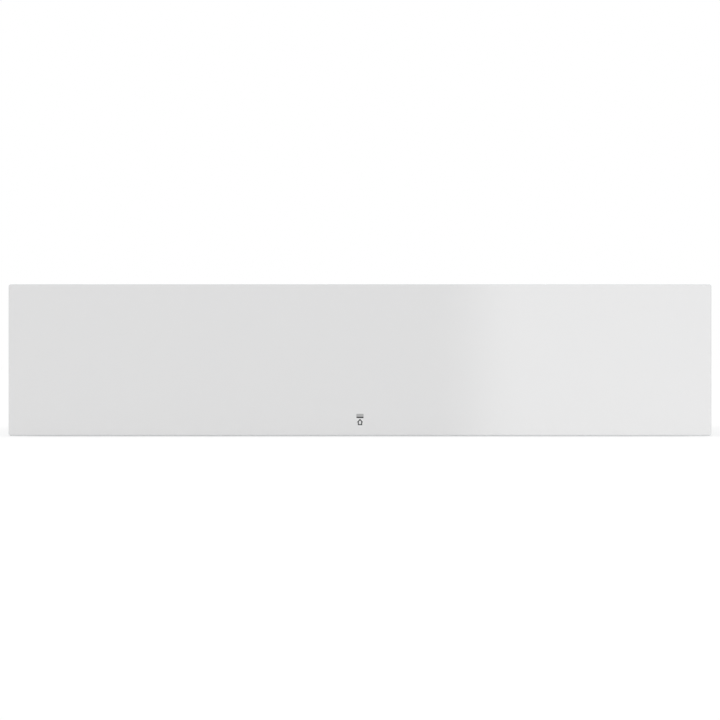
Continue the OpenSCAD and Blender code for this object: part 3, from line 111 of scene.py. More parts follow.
class NodeBench:
    """The node tree of a material or a world, and the moves that add to it."""

    def __init__(self, tree: bpy.types.NodeTree) -> None:
        """Empty the tree."""
        self.tree = tree
        self.tree.nodes.clear()

    def add(self, kind: str, inputs: dict[str | int, Any] | None = None, **settings: Any) -> bpy.types.Node:
        """Add one node.

        Args:
            kind: the node's type name.
            inputs: values or sockets for its inputs, by the input's name or number.
            settings: the node's own properties.

        Returns:
            The node.
        """
        node = self.tree.nodes.new(kind)
        for name, value in settings.items():
            setattr(node, name, value)
        self.feed(node, inputs or {})
        return node

    def feed(self, node: bpy.types.Node, inputs: dict[str | int, Any]) -> None:
        """Set or link inputs of a node.

        Args:
            node: the node to feed.
            inputs: values or sockets, by the input's name or number.
        """
        for name, value in inputs.items():
            if isinstance(value, Socket):
                self.tree.links.new(value, node.inputs[name])
            else:
                node.inputs[name].default_value = value

    def maths(self, operation: str, first: Any, second: Any = 0.0, clamp: bool = False) -> Socket:
        """One sum on two sockets or numbers, kept between nought and one if clamped."""
        inputs = {0: first, 1: second}
        return self.add("ShaderNodeMath", inputs, operation=operation, use_clamp=clamp).outputs["Value"]

    def shown(self) -> Socket:
        """A mask of the rays that show a background: straight, mirrored and through glass.

        Returns:
            The mask socket.
        """
        rays = self.add("ShaderNodeLightPath")
        mask = self.maths("MAXIMUM", rays.outputs["Is Camera Ray"], rays.outputs["Is Glossy Ray"])
        return self.maths("MAXIMUM", mask, rays.outputs["Is Transmission Ray"])

    def chosen(self, share: Socket, first: bpy.types.Node, second: bpy.types.Node) -> Socket:
        """Blend two shaders by how much of the second one there is, from 0 to 1."""
        inputs = {0: share, 1: first.outputs[0], 2: second.outputs[0]}
        return self.add("ShaderNodeMixShader", inputs).outputs[0]


class ShaderBench(NodeBench):
    """A new material, with a shader and the coordinates that its patterns read."""

    worn_turn = (0.75, 0.985)

    def __init__(self, name: str) -> None:
        """Start a material.

        Args:
            name: the material's name.
        """
        self.material = bpy.data.materials.new(name)
        self.material.use_nodes = True
        super().__init__(self.material.node_tree)
        self.output = self.add("ShaderNodeOutputMaterial")
        self.shader = self.add("ShaderNodeBsdfPrincipled")
        self.feed(self.output, {"Surface": self.shader.outputs["BSDF"]})
        where = self.add("ShaderNodeTexCoord")
        self.place = where.outputs["Object"]
        self.facing = where.outputs["Normal"]

    def shade(self, **inputs: Any) -> None:
        """Feed the shader; an underscore in a name stands for a space."""
        self.feed(self.shader, {name.replace("_", " "): value for name, value in inputs.items()})

    def stretched(self, scale: Triple, centre: Triple = (0, 0, 0)) -> Socket:
        """Object coordinates scaled along each axis about a centre.

        Args:
            scale: cycles per metre along X, Y and Z.
            centre: the point, in metres, that becomes the origin.

        Returns:
            The coordinate socket.
        """
        moved = self.add("ShaderNodeVectorMath", {0: self.place, 1: centre}, operation="SUBTRACT")
        inputs = {"Vector": moved.outputs["Vector"], "Scale": scale}
        return self.add("ShaderNodeMapping", inputs).outputs["Vector"]

    def noise(self, place: Socket, scale: float, detail: float = 3.0, rough: float = 0.55) -> Socket:
        """A noise value around one half, at a scale in cycles per unit of the coordinates."""
        inputs = {"Vector": place, "Scale": scale, "Detail": detail, "Roughness": rough}
        return self.add("ShaderNodeTexNoise", inputs).outputs["Fac"]

    def weighed(self, coarse: Socket, cycles: float, share: float) -> Socket:
        """Lay fine noise, in cycles per metre, over a coarse pattern that keeps a share of the whole."""
        fine = self.maths("MULTIPLY", self.noise(self.place, cycles, 2.0), 1 - share)
        return self.maths("ADD", self.maths("MULTIPLY", coarse, share), fine)

    def spread(self, value: Socket, low: float, high: float, start: float = 0.0, end: float = 1.0) -> Socket:
        """Bring a value from the range of its start and end into that of low and high, clamped."""
        inputs = {"Value": value, "From Min": start, "From Max": end, "To Min": low, "To Max": high}
        return self.add("ShaderNodeMapRange", inputs).outputs["Result"]

    def mixed(self, share: Socket, first: Any, second: Any) -> Socket:
        """Blend two colours by how much of the second one there is, from 0 to 1."""
        return self.add("ShaderNodeMix", {0: share, 6: first, 7: second}, data_type="RGBA").outputs[2]

    def part(self, vector: Socket, axis: Axis) -> Socket:
        """One coordinate of a vector."""
        return self.add("ShaderNodeSeparateXYZ", {"Vector": vector}).outputs[axis.name]

    def band(self, value: Socket, middle: float, half: float, soft: float) -> Socket:
        """A mask that is one within half a width of a value, with a soft side of the given width."""
        away = self.maths("ABSOLUTE", self.maths("SUBTRACT", value, middle))
        return self.spread(away, 1.0, 0.0, half, half + soft)

    def bump(self, height: Socket, depth_mm: float, below: Socket | None = None) -> Socket:
        """Turn a height pattern into a normal.

        Args:
            height: the pattern, from 0 to 1.
            depth_mm: its depth in millimetres.
            below: a normal that it is laid over.

        Returns:
            The normal socket.
        """
        inputs: dict[str | int, Any] = {"Height": height, "Distance": depth_mm * MM, "Strength": 1.0}
        if below is not None:
            inputs["Normal"] = below
        return self.add("ShaderNodeBump", inputs).outputs["Normal"]

    def rounded(self, radius_mm: float) -> Socket:
        """A normal that is rounded over edges by a radius."""
        return self.add("ShaderNodeBevel", {"Radius": radius_mm * MM}, samples=4).outputs["Normal"]

    def edges(self, normal: Socket) -> Socket:
        """A mask of the edges.

        Args:
            normal: a normal that is rounded over the edges, where it leaves the flat one.

        Returns:
            The mask socket.
        """
        flat = self.add("ShaderNodeNewGeometry").outputs["True Normal"]
        node = self.add("ShaderNodeVectorMath", {0: normal, 1: flat}, operation="DOT_PRODUCT")
        return self.spread(node.outputs["Value"], 1.0, 0.0, *self.worn_turn)


@dataclass(frozen=True)
class Finish:
    """A surface finish: its tint, its gloss, and the pattern that making it left.

    The tint wanders towards the second tint over patches of the given size, and the grain has the rest
    of that wander. The edges wear bright where the patches lie within a range of their own.
    """

    name: str
    tint: Tint
    second: Tint
    gloss: float
    metal: float = 0.0
    grain: Grain = Grain.SMOOTH
    along: Axis = Axis.X
    size_mm: float = 2.0
    depth_mm: float = 0.01
    wander: float = 0.5
    patch_mm: float = 60.0
    gloss_swing: float = 0.06
    edge_mm: float = 0.25
    edge_tint: Tint | None = None
    coat: float = 0.0
    brush_ratio: float = 160.0
    roll_ratio: float = 30.0
    patch_share: float = 0.6
    patch_range: Point = (0.3, 0.7)
    wear: Point = (0.3, 1.0)
    wear_range: Point = (0.3, 0.6)

    def make(self) -> bpy.types.Material:
        """Build the material.

        Returns:
            The material, named after the finish.
        """
        bench = ShaderBench(self.name)
        bench.shade(Metallic=self.metal, Coat_Weight=self.coat, Coat_Roughness=0.05, Specular_IOR_Level=0.5)
        pattern = self.pattern(bench)
        patches = bench.noise(bench.place, 1 / (self.patch_mm * MM), 4.0)
        coarse = bench.spread(patches, 0, self.patch_share, *self.patch_range)
        share = bench.maths("ADD", coarse, bench.spread(pattern, 0, 1 - self.patch_share))
        share = bench.maths("MULTIPLY", share, self.wander, clamp=True)
        colour = bench.mixed(share, linear(self.tint), linear(self.second))
        rough = bench.maths("ADD", bench.spread(pattern, -self.gloss_swing, self.gloss_swing), self.gloss)
        soft = bench.rounded(self.edge_mm) if self.edge_mm else None
        normal = bench.bump(pattern, self.depth_mm, soft)
        if soft is not None and self.edge_tint is not None:
            wear = bench.spread(patches, *self.wear, *self.wear_range)
            worn = bench.maths("MULTIPLY", bench.edges(soft), wear)
            colour = bench.mixed(worn, colour, linear(self.edge_tint))
        self.dress(bench, colour, rough, normal)
        return bench.material

    def dress(self, bench: ShaderBench, colour: Socket, rough: Socket, normal: Socket) -> None:
        """Feed the colour, the roughness and the normal to the shader."""
        bench.shade(Base_Color=colour, Roughness=rough, Normal=normal)

    def pattern(self, bench: ShaderBench) -> Socket:
        """Lay the grain.

        Args:
            bench: the material's bench.

        Returns:
            The pattern's value, from 0 to 1.
        """
        cycles = 1 / (self.size_mm * MM)
        if self.grain is Grain.SPANGLE:
            return self.spangle(bench, cycles)
        if self.grain is Grain.BRUSHED:
            return bench.noise(self.drawn_out(bench, cycles, self.brush_ratio), 1.0, 2.0, 0.6)
        if self.grain is Grain.ROLLED:
            return bench.noise(self.drawn_out(bench, cycles, self.roll_ratio), 1.0, 3.0, 0.6)
        if self.grain is Grain.CAST:
            return bench.weighed(bench.noise(bench.place, cycles, 3.0, 0.6), 5 * cycles, 0.7)
        if self.grain is Grain.MOULDED:
            inputs = {"Vector": bench.place, "Scale": cycles}
            return bench.add("ShaderNodeTexVoronoi", inputs).outputs["Distance"]
        if self.grain is Grain.STACKED:
            return self.stacked(bench)
        return bench.noise(bench.place, cycles, 2.0)

    def drawn_out(self, bench: ShaderBench, cycles: float, ratio: float) -> Socket:
        """Coordinates in cycles across the grain, stretched by a ratio along it."""
        scale = [cycles / ratio if step else cycles for step in self.along.value]
        return bench.stretched((scale[0], scale[1], scale[2]))

    def spangle(self, bench: ShaderBench, cycles: float) -> Socket:
        """The frost-like crystals of hot-dip zinc.

        Args:
            bench: the material's bench.
            cycles: crystals per metre.

        Returns:
            The pattern's value.
        """
        inputs = {0: bench.noise(bench.place, 3 * cycles, 2.0), 1: (0.25 / cycles,) * 3, 2: bench.place}
        place = bench.add("ShaderNodeVectorMath", inputs, operation="MULTIPLY_ADD")
        inputs = {"Vector": place.outputs["Vector"], "Scale": cycles}
        cells = bench.add("ShaderNodeTexVoronoi", inputs).outputs["Color"]
        return bench.weighed(bench.part(cells, Axis.X), 12 * cycles, 0.8)

    def stacked(self, bench: ShaderBench) -> Socket:
        """The lines between thin sheets stacked along the axis.

        Args:
            bench: the material's bench.

        Returns:
            The pattern's value.
        """
        run = bench.maths("DIVIDE", bench.part(bench.place, self.along), self.size_mm * MM)
        ridge = bench.maths("ABSOLUTE", bench.maths("SUBTRACT", bench.maths("FRACT", run), 0.5))
        return bench.spread(ridge, 1.0, 0.0, 0.3, 0.5)


@dataclass(frozen=True)
class Glass(Finish):
    """Glass whose ground edges have a tint of their own."""

    edge_face: Tint = (222, 225, 225)
    edge_facing: Point = (0.9, 0.99)

    def edge(self, bench: ShaderBench, axis: Axis) -> Socket:
        """A mask of the ground edges: the faces that don't look along an axis."""
        facing = bench.maths("ABSOLUTE", bench.part(bench.facing, axis))
        return bench.spread(facing, 1.0, 0.0, *self.edge_facing)


@dataclass(frozen=True)
class PanelGlass(Glass):
    """Glass painted on its back: an even tone under a clear polished face."""

    def dress(self, bench: ShaderBench, colour: Socket, rough: Socket, normal: Socket) -> None:
        """Tint the ground edges; the polished face needs no normal."""
        tinted = bench.mixed(self.edge(bench, Axis.Y), colour, linear(self.edge_face))
        bench.shade(Base_Color=tinted, Roughness=rough)


@dataclass(frozen=True)
class ClearGlass(Glass):
    """Toughened glass to look through, green where the light runs along it to the edge."""

    edge_rough: float = 0.4

    def make(self) -> bpy.types.Material:
        """Build the material.

        Returns:
            The material, named after the finish.
        """
        bench = ShaderBench(self.name)
        edge = self.edge(bench, Axis.Z)
        smears = bench.noise(bench.place, 1 / (self.patch_mm * MM), 4.0)
        bench.shade(Transmission_Weight=1.0, IOR=1.5)
        bench.shade(Base_Color=bench.mixed(edge, linear(self.tint), linear(self.edge_face)))
        wiped = bench.spread(smears, 0.0, self.gloss, 0.45, 0.75)
        bench.shade(Roughness=bench.maths("ADD", wiped, bench.maths("MULTIPLY", edge, self.edge_rough)))
        return bench.material


@dataclass(frozen=True)
class WireWinding(Finish):
    """Enamelled wire wound round the motor's axis and laced into a bundle."""

    axis_y: float = 185.15 * MM
    axis_z: float = 62 * MM

    def pattern(self, bench: ShaderBench) -> Socket:
        """Lay the strands as rings round the motor's axis.

        Args:
            bench: the material's bench.

        Returns:
            The pattern's value.
        """
        cycles = 1 / (self.size_mm * MM)
        place = bench.stretched((0.6 * cycles, cycles, cycles), (0, self.axis_y, self.axis_z))
        inputs = {"Vector": place, "Scale": 0.32, "Distortion": 2.4, "Detail": 2.0, "Detail Scale": 0.4}
        rings = {"wave_type": "RINGS", "rings_direction": "X"}
        return bench.add("ShaderNodeTexWave", inputs, **rings).outputs["Fac"]


class Component(Enum):
    """What stands on the power board, by its tint."""

    HEAT_SINK = (150, 153, 156)
    CAPACITORS = (38, 48, 78)
    RELAYS = (54, 78, 120)
    TERMINALS = (70, 132, 92)
    CHOKE = (176, 98, 54)


@dataclass(frozen=True)
class Footprint:
    """The ground that a component stands on, from its lowest to its highest X and Y."""

    component: Component
    x: Point
    y: Point


@dataclass(frozen=True)
class CircuitBoard(Finish):
    """Green solder mask with tracks on the flat of each board, and housings on what stands on it.

    Each sheet is a pair of levels. The track band is the middle, half width and soft side of a track in
    the pattern that draws it.
    """

    sheets: tuple[Point, ...] = ()
    footprints: tuple[Footprint, ...] = ()
    housings: Tint = (44, 45, 48)
    track_tint: Tint = (74, 138, 92)
    tracks_per_metre: float = 420.0
    track_band: Triple = (0.62, 0.05, 0.04)
    skin: float = 0.2 * MM
    soft: float = 0.05 * MM

    def dress(self, bench: ShaderBench, colour: Socket, rough: Socket, normal: Socket) -> None:
        """Part the boards from their components by height, draw the tracks and tint the components.

        Args:
            bench: the material's bench.
            colour: the colour socket.
            rough: the roughness socket.
            normal: the normal socket.
        """
        inputs = {"Vector": bench.stretched((self.tracks_per_metre,) * 3), "Scale": 1.0, "Randomness": 0.55}
        squares = bench.add("ShaderNodeTexVoronoi", inputs, distance="MANHATTAN", feature="F2")
        track = bench.band(squares.outputs["Distance"], *self.track_band)
        board = bench.mixed(track, colour, linear(self.track_tint))
        mixed: Any = linear(self.housings)
        for ground in self.footprints:
            across = self.between(bench, Axis.X, *ground.x)
            within = bench.maths("MULTIPLY", across, self.between(bench, Axis.Y, *ground.y))
            mixed = bench.mixed(within, mixed, linear(ground.component.value))
        for low, high in self.sheets:
            mixed = bench.mixed(self.between(bench, Axis.Z, low - self.skin, high + self.skin), mixed, board)
        bench.shade(Base_Color=mixed, Roughness=rough, Normal=normal)

    def between(self, bench: ShaderBench, axis: Axis, low: float, high: float) -> Socket:
        """A mask of what lies between two places, in metres, along an axis."""
        return bench.band(bench.part(bench.place, axis), (low + high) / 2, (high - low) / 2, self.soft)


@dataclass(frozen=True)
class WovenTape(Finish):
    """Fluoropolymer-coated glass cloth: a tight square weave, brown and slightly glossy."""

    def pattern(self, bench: ShaderBench) -> Socket:
        """Cross two sets of threads.

        Args:
            bench: the material's bench.

        Returns:
            The pattern's value.
        """
        cycles = 1 / (self.size_mm * MM)
        threads = []
        for axis in (Axis.X, Axis.Y):
            run = bench.maths("MULTIPLY", bench.part(bench.place, axis), 2 * math.pi * cycles)
            threads.append(bench.spread(bench.maths("SINE", run), 0, 1, -1, 1))
        return bench.maths("MULTIPLY", threads[0], threads[1])


def board_layout() -> tuple[tuple[Point, ...], tuple[Footprint, ...]]:
    """Where the sheets of both circuit boards lie and what stands on the power board.

    The table gives each component's reach from the board's middle: along X in millimetres, and along Y
    in shares of the board's depth.

    Returns:
        The levels of the sheets, and the footprints of the components.
    """
    top, (low, high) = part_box("control_board")[1].z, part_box("power_board")
    sheet, sensors, posts = 1.6 * MM, 1.5 * MM, 12.0 * MM
    sheets = ((top - sensors - sheet, top - sensors), (low.z + posts, low.z + posts + sheet))
    middle, depth = (low + high) / 2, high.y - low.y
    grounds = (
        (Component.HEAT_SINK, (-40.5, 2.5), (-0.42, -0.18)),
        (Component.CAPACITORS, (-39, -3), (0.17, 0.37)),
        (Component.RELAYS, (13.5, 40.5), (-0.25, 0.42)),
        (Component.TERMINALS, (5, 42), (-0.47, -0.35)),
        (Component.CHOKE, (-38.5, -17.5), (-0.1, 0.14)),
    )
    footprints = []
    for component, across, along in grounds:
        x, y = [middle.x + v * MM for v in across], [middle.y + v * depth for v in along]
        footprints.append(Footprint(component, (x[0], x[1]), (y[0], y[1])))
    return sheets, tuple(footprints)


def finishes() -> dict[str, Finish]:
    """The finish of each material slot that the record names.

    Returns:
        The finishes by slot.
    """
    sheets, footprints = board_layout()
    zinc = dict(metal=0.8, gloss_swing=0.12, edge_tint=(222, 225, 228))
    steel = dict(metal=1.0, grain=Grain.BRUSHED, size_mm=0.9, depth_mm=0.006, wander=1.0, gloss_swing=0.12,
                 edge_tint=(232, 232, 231))
    plastic = dict(grain=Grain.MOULDED, size_mm=0.5, depth_mm=0.03, edge_mm=0.3)
    rubber = dict(grain=Grain.SMOOTH, size_mm=1.2, depth_mm=0.03, edge_mm=0.4, gloss_swing=0.08)
    every = [
        Finish("galvanised", (186, 190, 193), (164, 168, 172), 0.42, grain=Grain.SPANGLE, size_mm=9,
               depth_mm=0.012, wander=0.8, **zinc),
        PanelGlass("white_glass", (230, 230, 230), (229, 229, 230), 0.03, size_mm=40, depth_mm=0,
                   gloss_swing=0.01, edge_mm=0),
        Finish("frame_steel", (176, 179, 182), (158, 161, 165), 0.4, grain=Grain.SPANGLE, size_mm=7,
               depth_mm=0.01, wander=0.6, **zinc),
        Finish("stainless", (206, 206, 204), (182, 183, 183), 0.3, **steel),
        Finish("runner_steel", (190, 196, 200), (172, 176, 170), 0.3, metal=1.0, grain=Grain.ROLLED,
               along=Axis.Y, size_mm=0.6, depth_mm=0.006, edge_tint=(224, 228, 230)),
        Finish("ball_steel", (206, 208, 210), (190, 192, 195), 0.16, metal=1.0, size_mm=1.0, edge_mm=0),
        Finish("fastener", (196, 198, 198), (176, 176, 172), 0.32, metal=1.0, size_mm=0.8,
               edge_tint=(226, 227, 227)),
        Finish("glide_plastic", (58, 60, 62), (50, 52, 54), 0.55, **plastic),
        Finish("latch_plastic", (52, 54, 57), (44, 46, 48), 0.5, **plastic),
        Finish("inlet_plastic", (34, 35, 37), (28, 29, 30), 0.48, **plastic),
        Finish("contact_brass", (212, 190, 138), (190, 166, 112), 0.3, metal=1.0, size_mm=0.6),
        Finish("plunger_steel", (188, 190, 192), (170, 172, 174), 0.28, metal=1.0, size_mm=0.8),
        Finish("black_glass", (17, 18, 20), (15, 16, 18), 0.04, size_mm=30, depth_mm=0, gloss_swing=0.02,
               edge_mm=0.3),
        CircuitBoard("circuit_board", (34, 92, 58), (28, 80, 50), 0.38, size_mm=1.2, depth_mm=0.02,
                     sheets=sheets, footprints=footprints),
        Finish("gasket_rubber", (54, 55, 57), (46, 47, 49), 0.58, **rubber),
        Finish("brass_fitting", (208, 182, 120), (184, 156, 96), 0.28, metal=1.0, size_mm=0.8,
               edge_tint=(228, 210, 160)),
        Finish("cylinder_alloy", (190, 192, 194), (174, 176, 178), 0.36, metal=1.0, grain=Grain.ROLLED,
               along=Axis.Z, size_mm=0.4, edge_tint=(220, 221, 222)),
        Finish("hinge_steel", (188, 190, 192), (172, 174, 177), 0.34, metal=1.0, grain=Grain.BRUSHED,
               size_mm=0.4, edge_tint=(226, 227, 228)),
        Finish("valve_alloy", (176, 179, 182), (160, 162, 165), 0.4, metal=1.0, grain=Grain.CAST,
               size_mm=1.5, depth_mm=0.05, edge_tint=(214, 216, 218)),
        Finish("coil_plastic", (40, 42, 46), (34, 35, 38), 0.5, **plastic),
        Finish("hose_silicone", (214, 208, 196), (204, 196, 182), 0.42, **rubber),
        Finish("cast_alloy", (170, 173, 176), (150, 153, 156), 0.5, metal=1.0, grain=Grain.CAST,
               size_mm=1.8, depth_mm=0.12, edge_tint=(206, 208, 210)),
        Finish("lamination", (120, 122, 126), (82, 84, 88), 0.42, metal=1.0, grain=Grain.STACKED,
               size_mm=0.5, depth_mm=0.08, wander=0.9, gloss_swing=0.1, edge_mm=0),
        WireWinding("winding_copper", (186, 104, 58), (120, 58, 28), 0.36, metal=0.85, size_mm=1.0,
                    depth_mm=0.35, wander=1.0, edge_mm=0, coat=0.4),
        Finish("shaft_steel", (196, 198, 200), (180, 182, 184), 0.24, metal=1.0, grain=Grain.ROLLED,
               size_mm=0.3),
        Finish("fan_plastic", (46, 48, 52), (38, 40, 43), 0.46, **plastic),
        Finish("buffer_rubber", (36, 37, 39), (30, 31, 32), 0.7, **rubber),
        Finish("tape_yellow", (222, 184, 62), (206, 166, 46), 0.34, grain=Grain.STACKED, along=Axis.Z,
               size_mm=2.4, depth_mm=0.12, edge_mm=0),
        ClearGlass("clear_glass", (246, 250, 249), (246, 250, 249), 0.03, patch_mm=90,
                   edge_face=(168, 206, 196)),
        Finish("bar_aluminium", (202, 204, 206), (188, 190, 192), 0.32, metal=1.0, grain=Grain.BRUSHED,
               size_mm=0.35, depth_mm=0.005, edge_tint=(228, 229, 230)),
        Finish("strip_silicone", (172, 74, 52), (158, 64, 44), 0.52, **rubber),
        WovenTape("seal_tape", (132, 98, 62), (104, 74, 44), 0.36, size_mm=0.9, depth_mm=0.06, wander=0.9),
    ]
    return {finish.name: finish for finish in every}


def prints() -> dict[str, Finish]:
    """The inks of the printed marks, which take the slot of what they are printed on.

    Returns:
        The inks by name.
    """
    ink = dict(size_mm=0.4, depth_mm=0.004, edge_mm=0.0, wander=0.3)
    every = [
        Finish("mark_pale", (176, 176, 176), (170, 170, 170), 0.4, **ink),
        Finish("mark_dark", (38, 38, 39), (32, 32, 33), 0.4, **ink),
        Finish("symbol_white", (214, 216, 217), (204, 206, 208), 0.45, **ink),
    ]
    return {finish.name: finish for finish in every}


class Wardrobe:
    """Makes each finish once and hands it out."""

    def __init__(self) -> None:
        """Know the finishes, with none made yet."""
        self.known = {**finishes(), **prints()}
        self.made: dict[str, bpy.types.Material] = {}

    def get(self, name: str) -> bpy.types.Material:
        """Hand out a material.

        Args:
            name: the finish's name.

        Returns:
            The material, made on first use.
        """
        if name not in self.made:
            self.made[name] = self.known[name].make()
        return self.made[name]

    def dress_nodes(self) -> None:
        """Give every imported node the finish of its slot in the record."""
        for row in frame["record"]["subparts"]:
            obj = frame["nodes"][row["node"]]
            material = self.get(row["material_slot"])
            if not obj.material_slots:
                obj.data.materials.append(material)
            for place in obj.material_slots:
                place.material = material
            LOG.info("node %s: %s", row["node"], row["material_slot"])


# Modelling


class Bench:
    """The moves that shape new pieces, as done by hand in edit mode."""

    sharp = math.radians(30)

    @staticmethod
    def clear() -> None:
        """Leave nothing selected."""
        bpy.ops.object.select_all(action="DESELECT")

    @classmethod
    def hold(cls, obj: Object) -> None:
        """Select one piece alone and make it the active one.

        Args:
            obj: the piece.
        """
        cls.clear()
        bpy.context.view_layer.objects.active = obj
        obj.select_set(True)

    @classmethod
    def block(cls, size: Triple, centre: Triple) -> Object:
        """Start from a block.

        Args:
            size: its size along X, Y and Z.
            centre: its centre.

        Returns:
            The block, with its place in its mesh.
        """
        cls.clear()
        bpy.ops.mesh.primitive_cube_add(size=1.0, location=centre)
        obj = bpy.context.active_object
        obj.scale = size
        return cls.settle(obj)

    @classmethod
    def rod(cls, radius: float, length: float, centre: Triple, sides: int, ends: str = "NGON") -> Object:
        """Start from an upright rod.

        Args:
            radius: its radius.
            length: its length.
            centre: its centre.
            sides: how many sides it has.
            ends: how its ends are filled.

        Returns:
            The rod, with its place in its mesh.
        """
        cls.clear()
        size = {"radius": radius, "depth": length}
        bpy.ops.mesh.primitive_cylinder_add(vertices=sides, end_fill_type=ends, location=centre, **size)
        return cls.settle(bpy.context.active_object)

    @classmethod
    def sheet(cls, points: Outline) -> Object:
        """Start from a flat outline that lies in X and Y.

        Args:
            points: the outline's corners.

        Returns:
            The sheet.
        """
        cls.clear()
        bpy.ops.mesh.primitive_circle_add(vertices=len(points), radius=1.0, fill_type="NGON")
        obj = bpy.context.active_object
        for vertex, point in zip(obj.data.vertices, points):
            vertex.co = (*point, 0.0)
        return cls.settle(obj)

    @staticmethod
    def settle(obj: Object) -> Object:
        """Put a piece's place, turn and scale into its mesh.

        Args:
            obj: the piece.

        Returns:
            The same piece.
        """
        bpy.context.view_layer.update()
        obj.data.transform(obj.matrix_world)
        obj.matrix_world = Matrix.Identity(4)
        obj.data.update()
        return obj

    @classmethod
    @contextmanager
    def editing(cls, obj: Object, mode: tuple[bool, bool, bool]) -> Iterator[None]:
        """Edit mode on one piece.

        Args:
            obj: the piece.
            mode: whether vertices, edges and faces are picked.

        Yields:
            Nothing; the work is done inside.
        """
        cls.hold(obj)
        bpy.context.tool_settings.mesh_select_mode = mode
        bpy.ops.object.mode_set(mode="EDIT")
        yield
        bpy.ops.object.mode_set(mode="OBJECT")

    @classmethod
    @contextmanager
    def faces(cls, obj: Object, wanted: Test = lambda centre, normal: True) -> Iterator[None]:
        """Edit mode with the faces selected that a test picks.

        Args:
            obj: the piece.
            wanted: a test on a face's centre and normal.

        Yields:
            Nothing; the work is done inside.
        """
        mesh = obj.data
        for item in (*mesh.vertices, *mesh.edges):
            item.select = False
        for face in mesh.polygons:
            face.select = wanted(face.center, face.normal)
        with cls.editing(obj, (False, False, True)):
            yield

    @classmethod
    @contextmanager
    def edges(cls, obj: Object, wanted: Test) -> Iterator[None]:
        """Edit mode with the edges selected that a test picks.

        Args:
            obj: the piece.
            wanted: a test on an edge's two ends.

        Yields:
            Nothing; the work is done inside.
        """
        mesh = obj.data
        for item in (*mesh.vertices, *mesh.polygons):
            item.select = False
        for edge in mesh.edges:
            first, second = (mesh.vertices[i].co for i in edge.vertices)
            edge.select = wanted(first, second)
        with cls.editing(obj, (False, True, False)):
            yield

    @classmethod
    def soften(cls, obj: Object, width: float) -> Object:
        """Round the sharp edges with a bevel.

        Args:
            obj: the piece.
            width: the bevel's width.

        Returns:
            The same piece.
        """
        bevel = obj.modifiers.new("edges", "BEVEL")
        bevel.width = width
        bevel.segments = 2
        bevel.limit_method = "ANGLE"
        bevel.angle_limit = cls.sharp
        return cls.applied(obj)

    @classmethod
    def cut(cls, obj: Object, tool: Object) -> Object:
        """Take a tool's shape out of a piece.

        Args:
            obj: the piece.
            tool: the shape to take out, which is used up.

        Returns:
            The same piece.
        """
        boolean = obj.modifiers.new("cut", "BOOLEAN")
        boolean.object = tool
        boolean.operation = "DIFFERENCE"
        boolean.solver = "EXACT"
        cls.applied(obj)
        bpy.data.objects.remove(tool)
        return obj

    @classmethod
    def applied(cls, obj: Object) -> Object:
        """Apply a piece's modifiers.

        Args:
            obj: the piece.

        Returns:
            The same piece.
        """
        cls.hold(obj)
        for modifier in list(obj.modifiers):
            bpy.ops.object.modifier_apply(modifier=modifier.name)
        return obj

    @classmethod
    def joined(cls, pieces: Iterable[Object]) -> Object:
        """Make one piece of several.

        Args:
            pieces: the pieces to join.

        Returns:
            The one piece.
        """
        first, *others = pieces
        cls.hold(first)
        for obj in others:
            obj.select_set(True)
        if others:
            bpy.ops.object.join()
        return first

    @staticmethod
    def copied(obj: Object, moved: Matrix) -> Object:
        """Copy a piece to another place, with its own mesh.

        Args:
            obj: the piece.
            moved: how the copy is moved from the piece.

        Returns:
            The copy.
        """
        twin = obj.copy()
        twin.data = obj.data.copy()
        twin.data.transform(moved)
        if moved.determinant() < 0:
            twin.data.flip_normals()
        bpy.context.scene.collection.objects.link(twin)
        return twin

    @classmethod
    def repeated(cls, model: Object, moves: Iterable[Matrix]) -> list[Object]:
        """Copy a model to several places and do away with the model.

        Args:
            model: the piece to copy, which is used up.
            moves: how each copy is moved from the model.

        Returns:
            The copies.
        """
        copies = [cls.copied(model, move) for move in moves]
        bpy.data.objects.remove(model)
        return copies


@dataclass
class Piece:
    """What every sub-assembly shares: the wardrobe, and how a made piece is named and seated."""

    wardrobe: Wardrobe

    def seat(self, obj: Object, name: str, body: str, slot: str, finish: str | None = None) -> None:
        """Name, dress and seat a finished piece.

        Args:
            obj: the piece.
            name: its name.
            body: the body that it rides on.
            slot: the record's material slot that it belongs to.
            finish: the finish, if it isn't the slot's own.
        """
        obj.name = obj.data.name = name
        obj.data.materials.clear()
        obj.data.materials.append(self.wardrobe.get(finish or slot))
        Bench.hold(obj)
        bpy.ops.object.shade_smooth_by_angle(angle=SMOOTH_ANGLE)
        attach(obj, body)
        LOG.info("piece %s on %s: %d faces", name, body, len(obj.data.polygons))


